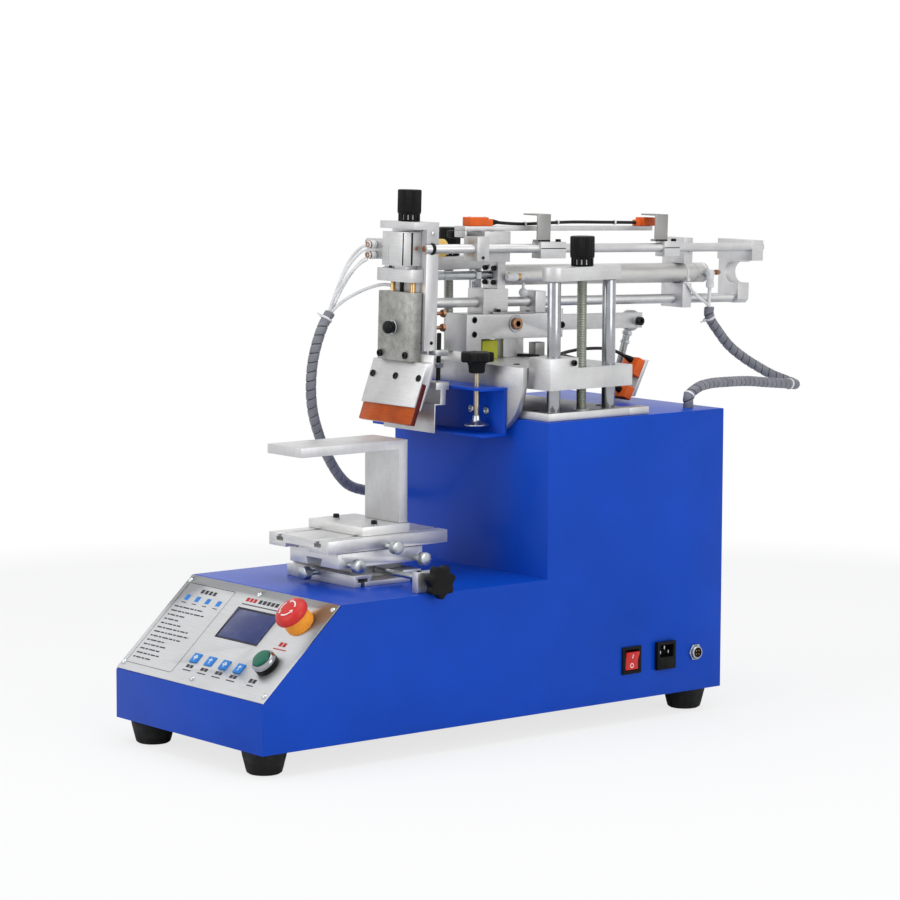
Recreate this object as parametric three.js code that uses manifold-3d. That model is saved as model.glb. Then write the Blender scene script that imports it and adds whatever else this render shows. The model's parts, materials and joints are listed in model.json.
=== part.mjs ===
// A bench screen printing machine: a painted cabinet with a sloping panel, an XY table that holds the
// work on an arm, and a print unit that tilts on a lift plate and carries a squeegee and a flood bar.
// Millimetres, +Z up, the operator stands at -Y. X is 0 on the cabinet's middle, Y is 0 at its front
// face and Z is 0 on the bench; the finished group is then moved so that its origin is under its middle.
import * as THREE from "three";
import { mergeVertices } from "three/addons/utils/BufferGeometryUtils.js";
import Module from "manifold-3d";

const wasm = await Module();
wasm.setup();

// Clearances
const seatGap = 0.3;
const runGap = 0.35;

// Cabinet
const cabinetWidth = 290;
const cabinetDepth = 695;
const footHeight = 28;
const frontLipHeight = 56.8;
const deckZ = 186.5;
const slopeRun = 110.9;
const towerFrontY = 413.5;
const towerTopZ = 371.5;
const sheet = 2;
const footTopRadius = 26;
const footBottomRadius = 20;
const footInsetX = 35;
const footInsetY = 28;

// Control panel, in its own frame: X, distance up the slope, height off the slope
const panelMargin = 0.5;
const panelEdge = 2;
const panelSheet = 1.5;
const keyWidth = 14;
const keyDepth = 13;
const keyHeight = 2;
const keyTravel = 0.8;
const keyFirstX = -20.7;
const keyPitch = 28.4;
const keyCount = 4;
const keyRowS = 38.3;
const displayWidth = 81.5;
const displayDepth = 45.6;
const displayX = 21.2;
const displayS = 95.2;
const displayRecess = 0.8;
const stopX = 108.5;
const stopS = 112;
const stopHeadRadius = 20;
const stopHeadHeight = 12;
const stopCollarRadius = 16.5;
const stopCollarHeight = 13;
const stopStemRadius = 10;
const stopTravel = 4;
const startX = 107;
const startS = 50;
const startRadius = 11;
const startBezelRadius = 14.75;
const startBezelHeight = 13;
const startRise = 16;
const startTravel = 3;

// Switch and power inlet on the +X wall
const switchFromRear = 148.3;
const switchZ = 76.4;
const switchWidth = 30.2;
const switchHeight = 33.3;
const switchProud = 2.2;
const switchBodyDepth = 22;
const switchBodyInset = 2.5;
const switchWellDepth = 14.5;
const rockerKeyWidth = 20;
const rockerKeyHeight = 24;
const rockerKeyTilt = 8;
const rockerPivotDepth = 5;
const rockerEdge = 1.2;
const inletFromRear = 95;
const inletZ = 77;
const inletWidth = 30;
const inletHeight = 34;
const inletProud = 6;
const inletBodyDepth = 24;
const inletBodyInset = 2;
const socketDepth = 16;
const socketHalf = 11;
const socketBelow = 2;
const socketAbove = 13;

// XY table
const tableCentreY = 244;
const baseLeftX = -73;
const baseRightX = 57;
const baseDepth = 99;
const baseHeight = 13.7;
const grooveHalf = 22;
const grooveFlare = 4;
const grooveDepth = 8;
const slideLeftX = -76.5;
const slideRightX = 35;
const slideShortOfSaddle = 48;
const slideHeight = 7.9;
const tongueX = 3.5;
const tongueHalf = 12;
const tongueFlare = 3;
const tongueHeight = 8.8;
const feedScrewRadius = 3.5;
const feedScrewRise = 0.8;
const feedScrewReach = 60;
const knobLobes = 7;
const knobLobeShare = 0.11;
const crossScrewRadius = 3;
const crossScrewRise = 4.2;
const crossScrewFromMiddle = 6;
const crossHubRadius = 6;
const crossHubLength = 5;
const screwBlockX = 124.6;
const screwBlockWidth = 10.1;
const screwBlockDepth = 35;
const screwBlockHeight = 24.2;
const feedKnobRadius = 20;
const feedKnobStart = 148;
const feedKnobThickness = 12;
const feedHubRadius = 8;
const saddleLeftX = -43;
const saddleRightX = 50;
const saddleFrontY = 177;
const saddleRearY = 301;
const saddleHeight = 17.5;
const saddleEndPlate = 6;
const saddleEndHalf = 20;
const saddleThumbRise = 4.2;
const saddleThumbFromFront = 16;
const saddleThumbFromRear = 11;
const crossKnobRadius = 13.5;
const crossKnobThickness = 12;
const railLeftX = -26.5;
const railRightX = 19.5;
const railHeight = 6.4;
const tableLeftX = -59;
const tableRightX = 56;
const tableFrontY = 158.4;
const tableRearY = 334;
const tableThickness = 15;
const tableLift = 1.7;
const tableThumbRise = 3;
const slotOffset = 36.5;
const slotHeadWidth = 13;
const slotHeadHeight = 4.5;
const slotThroatWidth = 7;
const slotThroatDepth = 4;
const baseSlotWall = 3.5;
const baseSlotEdge = 6;
const baseSlotHeadWidth = baseDepth / 2 - grooveHalf - grooveFlare - baseSlotWall - baseSlotEdge;
const baseSlotHeadHeight = 4.4;
const baseSlotThroatWidth = 6;
const baseSlotThroatDepth = 5.2;
const baseSlotFromEdge = baseSlotEdge + baseSlotHeadWidth / 2;
const thumbHeadRadius = 8;
const thumbHeadLength = 10;
const thumbNeckRadius = 4.5;
const thumbNeckLength = 12;
const thumbShankRadius = 2;
const thumbShankLength = 26;
const thumbBaseX = -14;
const thumbBelowTop = 3.3;
const fixtureLeftX = -57.5;
const fixtureRightX = 47;
const fixtureFrontY = 214.8;
const fixtureRearY = 284.3;
const fixtureThickness = 11;
const armLeftX = -22.3;
const armRightX = 43;
const armFrontY = 129.5;
const armTopZ = 352;
const armThickness = 11;
const uprightThickness = 12.6;

// Gantry
const gantryHalf = 140;
const gantryFrontY = 418.3;
const gantryRearY = 545;
const gantryPlate = 9.7;
const columnX = 125;
const frontShaftY = 438;
const rearShaftY = 524;
const liftScrewY = 481.3;
const shaftRadius = 8;
const liftScrewRadius = 6;
const screwSeatDepth = 7;
const topBarZ = 535.4;
const topBarThickness = 16.5;
const topBarHalf = 14.2;
const castleRadius = 14.5;
const castleHeight = 35;
const castleSkirtStep = 1.3;
const castleSkirtHeight = 9;
const castleSlots = 8;
const castleSlotShare = 0.2;
const liftPlateZ = 408;
const liftPlateThickness = 25;
const liftFrontY = 420;
const liftRearY = 549;
const clampBlockLeftX = 101;
const clampBlockRearY = 463.6;
const clampBlockHeight = 12.5;
const apronHalf = 107;
const apronFrontY = 404;
const apronThickness = 8.7;
const apronBottomZ = 350;
const apronTopZ = 434;
const apronCorner = 67;
const apronLandHalf = 100;
const channelLeftX = -128;
const channelRightX = 80;
const channelFrontY = 365;
const channelBottomZ = 351;
const channelTopZ = 409;
const channelSheet = 3;
const clampRightX = 49;
const clampLeftX = -97;
const clampY = 383.5;
const clampKnobRadius = 19.5;
const clampKnobHeight = 12;
const clampHubRadius = 11;
const clampHubHeight = 13;
const clampStemRadius = 3.5;
const clampPadRadius = 14.5;
const clampPadHeight = 8;
const clampPadZ = 362;
const clampHubZ = 425;

// Print unit, in its own frame, which is the machine's turned about the pivot
const restTilt = 1.6;
const pivotY = 490.6;
const pivotZ = 474.9;
const pinRadius = 5;
const pinHeadRadius = 6.2;
const pinHeadLength = 3;
const unitX = -27;
const beamLeftX = -48;
const beamRightX = -6.5;
const beamFrontY = 413.5;
const beamBlockRearY = 436.7;
const beamRearY = 566;
const beamBlockBottomZ = 442;
const beamBlockTopZ = 486.7;
const beamBottomZ = 457;
const beamTopZ = 486.7;
const pocketLeftX = -36.6;
const pocketRightX = -18;
const pocketFrontY = 470;
const pocketRearY = 524;
const beamWebTopZ = 492;
const pocketRoof = 2.4;
const lugRadius = 8;
const uprightFrontY = 481;
const uprightRearY = 513;
const uprightShoulderZ = 456;
const endPlateThickness = 10;
const armOutLeftX = -19.5;
const armOutRightX = -11.5;
const armOutRearY = 702;
const armOutBottomZ = 465.5;
const armOutTopZ = 484.5;
const linkY = 695.6;
const linkZ = 474;
const linkPinRadius = 4;
const ringRadius = 13;
const ringThickness = 9;
const ringPlay = 1;
const actuatorLean = 18;
const actuatorRadius = 12;
const actuatorTop = 58;
const actuatorBottom = 92;
const actuatorFloor = 1.2;
const actuatorRodRadius = 4.5;
const actuatorRodEnd = 76;
const trunnionAt = 70;
const trunnionRadius = 4;
const trunnionShort = 1.7;
const bracketArm = 4;
const bracketRoom = 0.8;
const bracketBottomZ = 396;
const bracketArmTopZ = 409;
const bracketTopZ = 425;
const bracketRearY = 686;
const sensorPlateRightX = 20;
const sensorPlateTopZ = 422;
const sensorPlateBottomZ = 378;
const sensorPlateTopY = 680;
const sensorPlateLean = 27.4;
const sensorPlateThickness = 5;

const bearingLeftX = -42;
const bearingRightX = -12;
const bearingFrontY = 443;
const bearingRearY = 481.5;
const bearingTopZ = 517;
const rearBearingFrontY = 525.7;
const rearBearingRearY = 542.3;
const rearBearingTopZ = 513.6;
const flangeHalf = 14;
const flangeFrontY = 465;
const flangeRearY = 477;
const cylinderZ = 533;
const cylinderRadius = 12.5;
const cylinderRearY = 818;
const cylinderCapLength = 22;
const cylinderCapRadius = 12.5;
const pistonRadius = 5;
const pistonInside = 120;
const pistonRoom = 0.6;
const pistonBoreSpare = 4;
const couplerRadius = 5.5;
const couplerRearY = 438;
const pistonNutRadius = 8;
const pistonNutLength = 8;
const elbowX = -7;
const elbowRadius = 4;
const elbowBottomZ = 490.8;
const elbowFromRear = 6;
const upperBlockRightX = -5;
const upperBlockFrontY = 436.6;
const upperBlockBottomZ = 550;
const upperBlockTopZ = 586.7;
const guideFrontY = 410;
const guideRearY = 428;
const guideHalfHeight = 14.4;
const guideLeftX = -6;
const guideWebLeftX = -12;
const guideRightX = 14;
const rearFrameLeftX = -47;
const rearFrameRightX = -6.5;
const rearFrameFrontY = 765;
const rearFrameRearY = 780;
const rearFrameBottomZ = 490;
const rearFrameTopZ = 578;
const railFrontY = 412;
const railRearY = 716;
const sensorRailLeftX = -33;
const sensorRailRightX = -13;
const sensorRailThickness = 5.5;
const lowerRodZ = 500.3;
const lowerRodRadius = 6;
const upperRodX = 4;
const upperRodZ = 566.5;
const upperRodRadius = 5.5;
const upperRodProud = 2.7;
const upperRodPast = 2;
const headLeftX = -61.5;
const headRightX = 5;
const headFrontY = 339.7;
const headRearY = 358;
const headBottomZ = 445.5;
const headTopZ = 589;
const headCapFrontY = 321;
const headCapThickness = 9;
const lugBottomZ = 440;
const lugThickness = 7;
const lugHalf = 7;
const lugFrontY = 352;
const lugRearY = 371;
const crossbarFrontY = 869;
const crossbarRearY = 888;
const crossbarLeftX = -55;
const crossbarRightX = 9.5;
const crossbarLowerLeftX = -52;
const crossbarLowerRightX = -14.5;
const crossbarBottomZ = 493.8;
const crossbarStepZ = 549;
const crossbarTopZ = 575;
const crossbarRoom = 0.8;
const crossbarChamfer = 5;
const clampRingHalf = 8.6;
const midClampFrontY = 511;
const midClampRearY = 551;
const farClampFrontY = 714;
const farClampRearY = 740;
const midClampBelow = 12;
const farClampBelow = 11;
const clampAbove = 8;
const compactLeftX = -42;
const compactRightX = -5;
const compactFrontY = 310;
const compactBottomZ = 546;
const compactTopZ = 586;
const neckLeftX = -34;
const neckRightX = -13;
const neckFrontY = 323;
const manifoldLeftX = -81;
const manifoldFrontY = 316;
const manifoldRearY = 334;
const manifoldBottomZ = 552;
const manifoldTopZ = 576;
const crossPlateLeftX = -65;
const crossPlateRightX = 0;
const crossPlateFrontY = 321;
const crossPlateBottomZ = 526.5;
const crossPlateThickness = 15.3;
const guidePinRadius = 3;
const guidePinLeftX = -45.7;
const guidePinRightX = -8;
const guidePinY = 330.5;
const guidePinTopZ = 541;
const slideBlockLeftX = -63.3;
const slideBlockRightX = 0;
const slideBlockFrontY = 323;
const slideBlockRearY = 338;
const slideBlockBottomZ = 433;
const slideBlockTopZ = 514.6;
const squeegeeLeftX = -78.5;
const squeegeeRightX = 23;
const squeegeeLean = 18.6;
const squeegeeTopY = 328.2;
const squeegeeTopZ = 430.8;
const squeegeePlateLength = 52.6;
const squeegeeFrontPlate = 3;
const bladeThickness = 6.3;
const bladeTop = 22.5;
const bladeBottom = 73;
const bladeInset = 0.5;
const backPlateThickness = 2.4;
const backPlateTop = 10;
const backPlateWedge = 3;
const holderRearY = 343;
const holderTopZ = 442;
const holderStepZ = 424;
const floodLeftX = -74;
const floodRightX = 23;
const floodBladeY = 343.3;
const floodBladeSheet = 1.6;
const floodBladeBottomZ = 349.5;
const floodBladeTopZ = 384;
const floodUpperFrontY = 344.8;
const floodHolderFrontY = 352;
const floodHolderRearY = 360;
const floodHolderTopZ = 409.7;
const floodStepZ = 400.6;
const floodStepRearY = 364.6;
const floodPinRadius = 3;
const floodPinY = 348;
const floodPinLeftX = -50;
const floodPinRightX = -22;
const floodPinTopZ = 460;
const floodTravel = 10;
const stopScrewX = 5;
const stopScrewY = 361.9;
const stopScrewRadius = 2.4;
const stopScrewTopZ = 467;
const headKnobRadius = 14.2;
const headKnobY = 337.5;
const headKnobHeight = 37.4;
const headKnobShankRadius = 4;

// Hoses
const hoseRadius = 6.4;
const hoseValleyRadius = 5.7;
const hoseBoreRadius = 4.2;
const hoseSides = 8;
const ribPitch = 9.5;
const ribsPerBoreRing = 5;
const hoseSteps = 400;
const gapSamples = 160;
const rearHoseEndX = 112;
const rearHoseEndY = 667;
const frontHoseEndY = 462;
const frontHoseEndZ = 262;

// Finishes
function finish(color, roughness, metalness) {
  return new THREE.MeshStandardMaterial({ color, roughness, metalness });
}
const bluePaint = finish(0x1440b4, 0.45, 0);
const milledAluminium = finish(0xc9cbcc, 0.45, 0.9);
const mottledAluminium = finish(0x9ea09b, 0.55, 0.85);
const steel = finish(0xa9abad, 0.25, 1);
const zincScrew = finish(0xb4b7a8, 0.35, 0.9);
const brushedPanel = finish(0xb9bcc0, 0.4, 0.8);
const blackPlastic = finish(0x151515, 0.45, 0);
const blackRubber = finish(0x1a1a1a, 0.8, 0);
const redPlastic = finish(0xd8231c, 0.35, 0);
const amberPlastic = finish(0xe8a33a, 0.4, 0);
const greenPlastic = finish(0x0d8a45, 0.35, 0);
const bluePlastic = finish(0x2f77d0, 0.4, 0);
const polyurethane = finish(0xd9671c, 0.3, 0);
const greySteel = finish(0x6c6e70, 0.4, 0.9);
const greyPlastic = finish(0x8a8c90, 0.6, 0);

// Solids
function solidOf(geometry) {
  geometry.deleteAttribute("normal");
  geometry.deleteAttribute("uv");
  const merged = mergeVertices(geometry, 1e-4);
  const vertProperties = Float32Array.from(merged.attributes.position.array);
  const triVerts = Uint32Array.from(merged.index.array);
  return new wasm.Manifold(new wasm.Mesh({ numProp: 3, vertProperties, triVerts }));
}

function block(x0, x1, y0, y1, z0, z1) {
  const box = new THREE.BoxGeometry(x1 - x0, y1 - y0, z1 - z0);
  box.translate((x0 + x1) / 2, (y0 + y1) / 2, (z0 + z1) / 2);
  return solidOf(box);
}

function roundX(radius, x0, x1, y, z, sides = 20) {
  const rod = new THREE.CylinderGeometry(radius, radius, x1 - x0, sides);
  rod.rotateZ(Math.PI / 2);
  rod.translate((x0 + x1) / 2, y, z);
  return solidOf(rod);
}

function roundY(radius, x, y0, y1, z, sides = 20) {
  const rod = new THREE.CylinderGeometry(radius, radius, y1 - y0, sides);
  rod.translate(x, (y0 + y1) / 2, z);
  return solidOf(rod);
}

function roundZ(radius, x, y, z0, z1, sides = 20, topRadius = radius) {
  const rod = new THREE.CylinderGeometry(topRadius, radius, z1 - z0, sides);
  rod.rotateX(Math.PI / 2);
  rod.translate(x, y, (z0 + z1) / 2);
  return solidOf(rod);
}

function outline(points) {
  return new THREE.Shape(points.map(([a, b]) => new THREE.Vector2(a, b)));
}

// An outline of (y, z) points, carried along X
function sideProfile(points, x0, x1) {
  const bar = new THREE.ExtrudeGeometry(outline(points), { depth: x1 - x0, bevelEnabled: false });
  const turn = new THREE.Matrix4().set(0, 0, 1, x0, 1, 0, 0, 0, 0, 1, 0, 0, 0, 0, 0, 1);
  return solidOf(bar.applyMatrix4(turn));
}

// An outline of (x, z) points, carried along Y
function frontProfile(shape, y0, y1, curveSegments = 8) {
  const bar = new THREE.ExtrudeGeometry(shape, { depth: y1 - y0, bevelEnabled: false, curveSegments });
  bar.rotateX(Math.PI / 2);
  bar.translate(0, y1, 0);
  return solidOf(bar);
}

// An outline in plan, carried up Z
function planProfile(shape, z0, z1, curveSegments = 8) {
  const bar = new THREE.ExtrudeGeometry(shape, { depth: z1 - z0, bevelEnabled: false, curveSegments });
  bar.translate(0, 0, z0);
  return solidOf(bar);
}

function joined(first, ...others) {
  return others.reduce((sum, next) => sum.add(next), first);
}

function cut(first, ...others) {
  return others.reduce((rest, next) => rest.subtract(next), first);
}

function addPiece(group, name, solid, material) {
  const mesh = solid.getMesh();
  const geometry = new THREE.BufferGeometry();
  geometry.setAttribute("position", new THREE.BufferAttribute(mesh.vertProperties, 3));
  geometry.setIndex(new THREE.BufferAttribute(mesh.triVerts, 1));
  const piece = new THREE.Mesh(geometry, material);
  piece.name = name;
  group.add(piece);
  return piece;
}

// A hand knob on Z from 0 up: round lobes that a cosine rolls round the rim
function lobedKnob(radius, thickness) {
  const points = [];
  const steps = knobLobes * 6;
  const depth = radius * knobLobeShare;
  for (let i = 0; i < steps; i += 1) {
    const angle = (i / steps) * 2 * Math.PI;
    const reach = radius - depth + depth * Math.cos(knobLobes * angle);
    points.push([reach * Math.cos(angle), reach * Math.sin(angle)]);
  }
  return new THREE.ExtrudeGeometry(outline(points), { depth: thickness, bevelEnabled: false });
}

// A castle knob on Z: a plain skirt and a slotted crown
function castleKnob(x, y, z0, radius, height) {
  const skirtTop = z0 + castleSkirtHeight;
  const slotDepth = castleSkirtStep + 1;
  const slotWidth = radius * castleSlotShare;
  let knob = joined(
    roundZ(radius - castleSkirtStep, x, y, z0, skirtTop + 0.5, 24),
    roundZ(radius, x, y, skirtTop, z0 + height, 24),
  );
  for (let i = 0; i < castleSlots; i += 1) {
    const slot = new THREE.BoxGeometry(slotDepth * 2, slotWidth, height);
    slot.translate(radius, 0, skirtTop + height / 2);
    slot.rotateZ((i / castleSlots) * 2 * Math.PI);
    slot.translate(x, y, 0);
    knob = knob.subtract(solidOf(slot));
  }
  return knob;
}

const machine = new THREE.Group();
const body = new THREE.Group();
machine.add(body);

// Cabinet: one folded shell, open below, closed by a bottom plate on four rubber feet
const cabinetHalf = cabinetWidth / 2;
const frontTopZ = footHeight + frontLipHeight;
const slopeAngle = Math.atan2(deckZ - frontTopZ, slopeRun);
const slopeLength = Math.hypot(deckZ - frontTopZ, slopeRun);
const wallX = cabinetHalf - sheet;
const switchY = cabinetDepth - switchFromRear;
const inletY = cabinetDepth - inletFromRear;

function insetCorner(t) {
  return t * Math.tan((Math.PI / 2 - slopeAngle) / 2);
}

function deckInset(t) {
  return t * Math.tan(slopeAngle / 2);
}

function cabinetShell() {
  const outer = [
    [0, footHeight],
    [cabinetDepth, footHeight],
    [cabinetDepth, towerTopZ],
    [towerFrontY, towerTopZ],
    [towerFrontY, deckZ],
    [slopeRun, deckZ],
    [0, frontTopZ],
  ];
  const inner = [
    [sheet, footHeight - 1],
    [cabinetDepth - sheet, footHeight - 1],
    [cabinetDepth - sheet, towerTopZ - sheet],
    [towerFrontY + sheet, towerTopZ - sheet],
    [towerFrontY + sheet, deckZ - sheet],
    [slopeRun + deckInset(sheet), deckZ - sheet],
    [sheet, frontTopZ - insetCorner(sheet)],
  ];
  return cut(
    sideProfile(outer, -cabinetHalf, cabinetHalf),
    sideProfile(inner, -wallX, wallX),
    switchBody(runGap),
    inletBody(runGap),
  );
}

// A block on the +X wall, given by its middle and its half sizes
function wallBlock(x0, x1, y, halfWidth, z, halfHeight) {
  return block(x0, x1, y - halfWidth, y + halfWidth, z - halfHeight, z + halfHeight);
}

function switchBody(room) {
  const halfWidth = switchWidth / 2 - switchBodyInset + room;
  const halfHeight = switchHeight / 2 - switchBodyInset + room;
  const inside = cabinetHalf - switchBodyDepth;
  return wallBlock(inside, cabinetHalf + 1, switchY, halfWidth, switchZ, halfHeight);
}

function inletBody(room) {
  const halfWidth = inletWidth / 2 - inletBodyInset + room;
  const halfHeight = inletHeight / 2 - inletBodyInset + room;
  const inside = cabinetHalf - inletBodyDepth;
  return wallBlock(inside, cabinetHalf + 1, inletY, halfWidth, inletZ, halfHeight);
}

addPiece(body, "cabinet_shell", cabinetShell(), bluePaint);

const plateInset = sheet + seatGap;
addPiece(
  body,
  "bottom_plate",
  block(
    -cabinetHalf + plateInset,
    cabinetHalf - plateInset,
    plateInset,
    cabinetDepth - plateInset,
    footHeight,
    footHeight + sheet,
  ),
  greySteel,
);

const footX = cabinetHalf - footInsetX;
const footSpots = [
  [-footX, footInsetY],
  [footX, footInsetY],
  [-footX, cabinetDepth - footInsetY],
  [footX, cabinetDepth - footInsetY],
];
footSpots.forEach(([x, y], i) => {
  const edge = 3;
  const profile = [
    [0, 0],
    [footBottomRadius - edge, 0],
    [footBottomRadius, edge],
    [footTopRadius, footHeight - seatGap],
    [0, footHeight - seatGap],
  ].map(([r, z]) => new THREE.Vector2(r, z));
  const foot = new THREE.LatheGeometry(profile, 24);
  foot.rotateX(Math.PI / 2);
  foot.translate(x, y, 0);
  addPiece(body, `foot_${i + 1}`, solidOf(foot), blackRubber);
});

// Control panel and what stands on it, in the slope's own frame
const slope = new THREE.Group();
slope.position.set(0, 0, frontTopZ);
slope.rotation.x = slopeAngle;
body.add(slope);

const panelBottom = seatGap;
const panelTop = panelBottom + panelSheet;
const keyXs = Array.from({ length: keyCount }, (_, i) => keyFirstX + i * keyPitch);

function panelPlate() {
  const half = cabinetHalf - panelMargin;
  let plate = block(-half, half, panelEdge, slopeLength - panelEdge, panelBottom, panelTop);
  for (const x of keyXs) {
    const halfWidth = keyWidth / 2 + seatGap;
    const halfDepth = keyDepth / 2 + seatGap;
    const front = keyRowS - halfDepth;
    const rear = keyRowS + halfDepth;
    plate = plate.subtract(block(x - halfWidth, x + halfWidth, front, rear, 0, panelTop + 1));
  }
  const window = block(
    displayX - displayWidth / 2,
    displayX + displayWidth / 2,
    displayS - displayDepth / 2,
    displayS + displayDepth / 2,
    panelTop - displayRecess,
    panelTop + 1,
  );
  return plate.subtract(window);
}
addPiece(slope, "control_panel", panelPlate(), brushedPanel);

keyXs.forEach((x, i) => {
  const bottom = keyTravel + seatGap;
  const key = block(
    x - keyWidth / 2,
    x + keyWidth / 2,
    keyRowS - keyDepth / 2,
    keyRowS + keyDepth / 2,
    bottom,
    bottom + keyHeight,
  );
  addPiece(slope, `panel_key_${i + 1}`, key, bluePlastic);
});

const controlFoot = panelTop + seatGap;
const collarTop = controlFoot + stopCollarHeight;
addPiece(
  slope,
  "emergency_stop_collar",
  cut(
    roundZ(stopCollarRadius, stopX, stopS, controlFoot, collarTop, 30),
    roundZ(stopStemRadius + runGap, stopX, stopS, controlFoot - 1, collarTop + 1, 30),
  ),
  amberPlastic,
);
const stopHeadZ = collarTop + stopTravel + seatGap;
const stopDome = [
  [0, controlFoot + stopTravel + seatGap],
  [stopStemRadius, controlFoot + stopTravel + seatGap],
  [stopStemRadius, stopHeadZ],
  [stopHeadRadius - 1, stopHeadZ],
  [stopHeadRadius, stopHeadZ + 1],
  [stopHeadRadius, stopHeadZ + stopHeadHeight * 0.45],
  [stopHeadRadius * 0.86, stopHeadZ + stopHeadHeight * 0.82],
  [stopHeadRadius * 0.5, stopHeadZ + stopHeadHeight],
  [0, stopHeadZ + stopHeadHeight * 1.04],
].map(([r, z]) => new THREE.Vector2(r, z));
const stopHead = new THREE.LatheGeometry(stopDome, 30);
stopHead.rotateX(Math.PI / 2);
stopHead.translate(stopX, stopS, 0);
addPiece(slope, "emergency_stop_head", solidOf(stopHead), redPlastic);

addPiece(
  slope,
  "start_bezel",
  cut(
    roundZ(startBezelRadius, startX, startS, controlFoot, controlFoot + startBezelHeight, 30),
    roundZ(startRadius + runGap, startX, startS, controlFoot - 1, controlFoot + startBezelHeight + 1, 30),
  ),
  steel,
);
addPiece(
  slope,
  "start_button",
  roundZ(startRadius, startX, startS, controlFoot + startTravel + seatGap, controlFoot + startRise, 30),
  greenPlastic,
);

// Power switch: a frame let into the wall, and a rocker that lies over to one side
const wellRoom = seatGap + 0.2;
const wellY = rockerKeyWidth / 2 + wellRoom;
const wellZ = rockerKeyHeight / 2 + wellRoom;
const switchFace = cabinetHalf + seatGap + switchProud;
addPiece(
  body,
  "switch_frame",
  cut(
    joined(
      wallBlock(cabinetHalf + seatGap, switchFace, switchY, switchWidth / 2, switchZ, switchHeight / 2),
      switchBody(0),
    ),
    wallBlock(switchFace - switchWellDepth, switchFace + 1, switchY, wellY, switchZ, wellZ),
  ),
  blackPlastic,
);
const rockerKey = new THREE.Group();
rockerKey.position.set(switchFace - rockerPivotDepth, switchY, switchZ);
rockerKey.rotation.y = THREE.MathUtils.degToRad(rockerKeyTilt);
body.add(rockerKey);
const rockerReach = rockerKeyHeight / 2 - rockerEdge;
const rockerKeyFace = new THREE.ExtrudeGeometry(
  outline([
    [-3, -6],
    [-3, 6],
    [3, rockerReach],
    [6.5, rockerReach],
    [4.6, 0],
    [6.5, -rockerReach],
    [3, -rockerReach],
  ].reverse()),
  { depth: rockerKeyWidth, bevelEnabled: false },
);
rockerKeyFace.rotateX(Math.PI / 2);
rockerKeyFace.translate(0, rockerKeyWidth / 2, 0);
addPiece(rockerKey, "switch_rocker", solidOf(rockerKeyFace), redPlastic);

// Power inlet: the plug's cavity above, the fuse drawer below
const inletFace = cabinetHalf + seatGap + inletProud;
addPiece(
  body,
  "power_inlet",
  cut(
    joined(
      wallBlock(cabinetHalf + seatGap, inletFace, inletY, inletWidth / 2, inletZ, inletHeight / 2),
      inletBody(0),
    ),
    block(
      inletFace - socketDepth,
      inletFace + 1,
      inletY - socketHalf,
      inletY + socketHalf,
      inletZ - socketBelow,
      inletZ + socketAbove,
    ),
  ),
  blackPlastic,
);

// XY table base: grooved for the cross slide, slotted below
const baseBottomZ = deckZ + seatGap;
const baseTopZ = baseBottomZ + baseHeight;
const baseFrontY = tableCentreY - baseDepth / 2;
const baseRearY = tableCentreY + baseDepth / 2;

function baseSlot(y) {
  const left = baseLeftX - 1;
  const right = baseRightX + 1;
  const half = baseSlotHeadWidth / 2;
  const throat = baseSlotThroatWidth / 2;
  const headBottom = baseBottomZ + baseSlotThroatDepth;
  return joined(
    block(left, right, y - half, y + half, headBottom, headBottom + baseSlotHeadHeight),
    block(left, right, y - throat, y + throat, baseBottomZ - 1, headBottom + 1),
  );
}

const baseGroove = [
  [tableCentreY - grooveHalf, baseTopZ + 1],
  [tableCentreY - grooveHalf - grooveFlare, baseTopZ - grooveDepth],
  [tableCentreY + grooveHalf + grooveFlare, baseTopZ - grooveDepth],
  [tableCentreY + grooveHalf, baseTopZ + 1],
];
const thumbBaseZ = baseTopZ - thumbBelowTop;
const baseThumbTipY = baseFrontY - thumbNeckLength - seatGap + thumbShankLength;
addPiece(
  body,
  "xy_base",
  cut(
    block(baseLeftX, baseRightX, baseFrontY, baseRearY, baseBottomZ, baseTopZ),
    sideProfile(baseGroove, baseLeftX - 1, baseRightX + 1),
    baseSlot(baseFrontY + baseSlotFromEdge),
    baseSlot(baseRearY - baseSlotFromEdge),
    roundY(thumbShankRadius + runGap, thumbBaseX, baseFrontY - 1, tableCentreY - 10, thumbBaseZ, 16),
  ),
  milledAluminium,
);

const feedScrewZ = baseTopZ + feedScrewRise;
const screwBlockRightX = screwBlockX + screwBlockWidth;
const screwBlockTopZ = baseBottomZ + screwBlockHeight;
addPiece(
  body,
  "x_screw_block",
  cut(
    block(
      screwBlockX,
      screwBlockRightX,
      tableCentreY - screwBlockDepth / 2,
      tableCentreY + screwBlockDepth / 2,
      baseBottomZ,
      screwBlockTopZ,
    ),
    roundX(feedScrewRadius + runGap, screwBlockX - 1, screwBlockRightX + 1, tableCentreY, feedScrewZ),
  ),
  milledAluminium,
);

// Cross slide: a tongue in the base's groove, and a tongue on top for the saddle
const slideBottomZ = baseTopZ + seatGap;
const slideTopZ = slideBottomZ + slideHeight;
const slideDepth = saddleRearY - saddleFrontY - slideShortOfSaddle;
const slideFrontY = tableCentreY - slideDepth / 2;
const slideRearY = tableCentreY + slideDepth / 2;
const tongueTopZ = slideTopZ + tongueHeight;
const crossScrewZ = slideTopZ + crossScrewRise;
const lowerTongue = [
  [tableCentreY - grooveHalf + seatGap, slideBottomZ + 0.5],
  [tableCentreY - grooveHalf + seatGap, baseTopZ],
  [tableCentreY - grooveHalf - grooveFlare + seatGap * 2, baseTopZ - grooveDepth + seatGap],
  [tableCentreY + grooveHalf + grooveFlare - seatGap * 2, baseTopZ - grooveDepth + seatGap],
  [tableCentreY + grooveHalf - seatGap, baseTopZ],
  [tableCentreY + grooveHalf - seatGap, slideBottomZ + 0.5],
];
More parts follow.
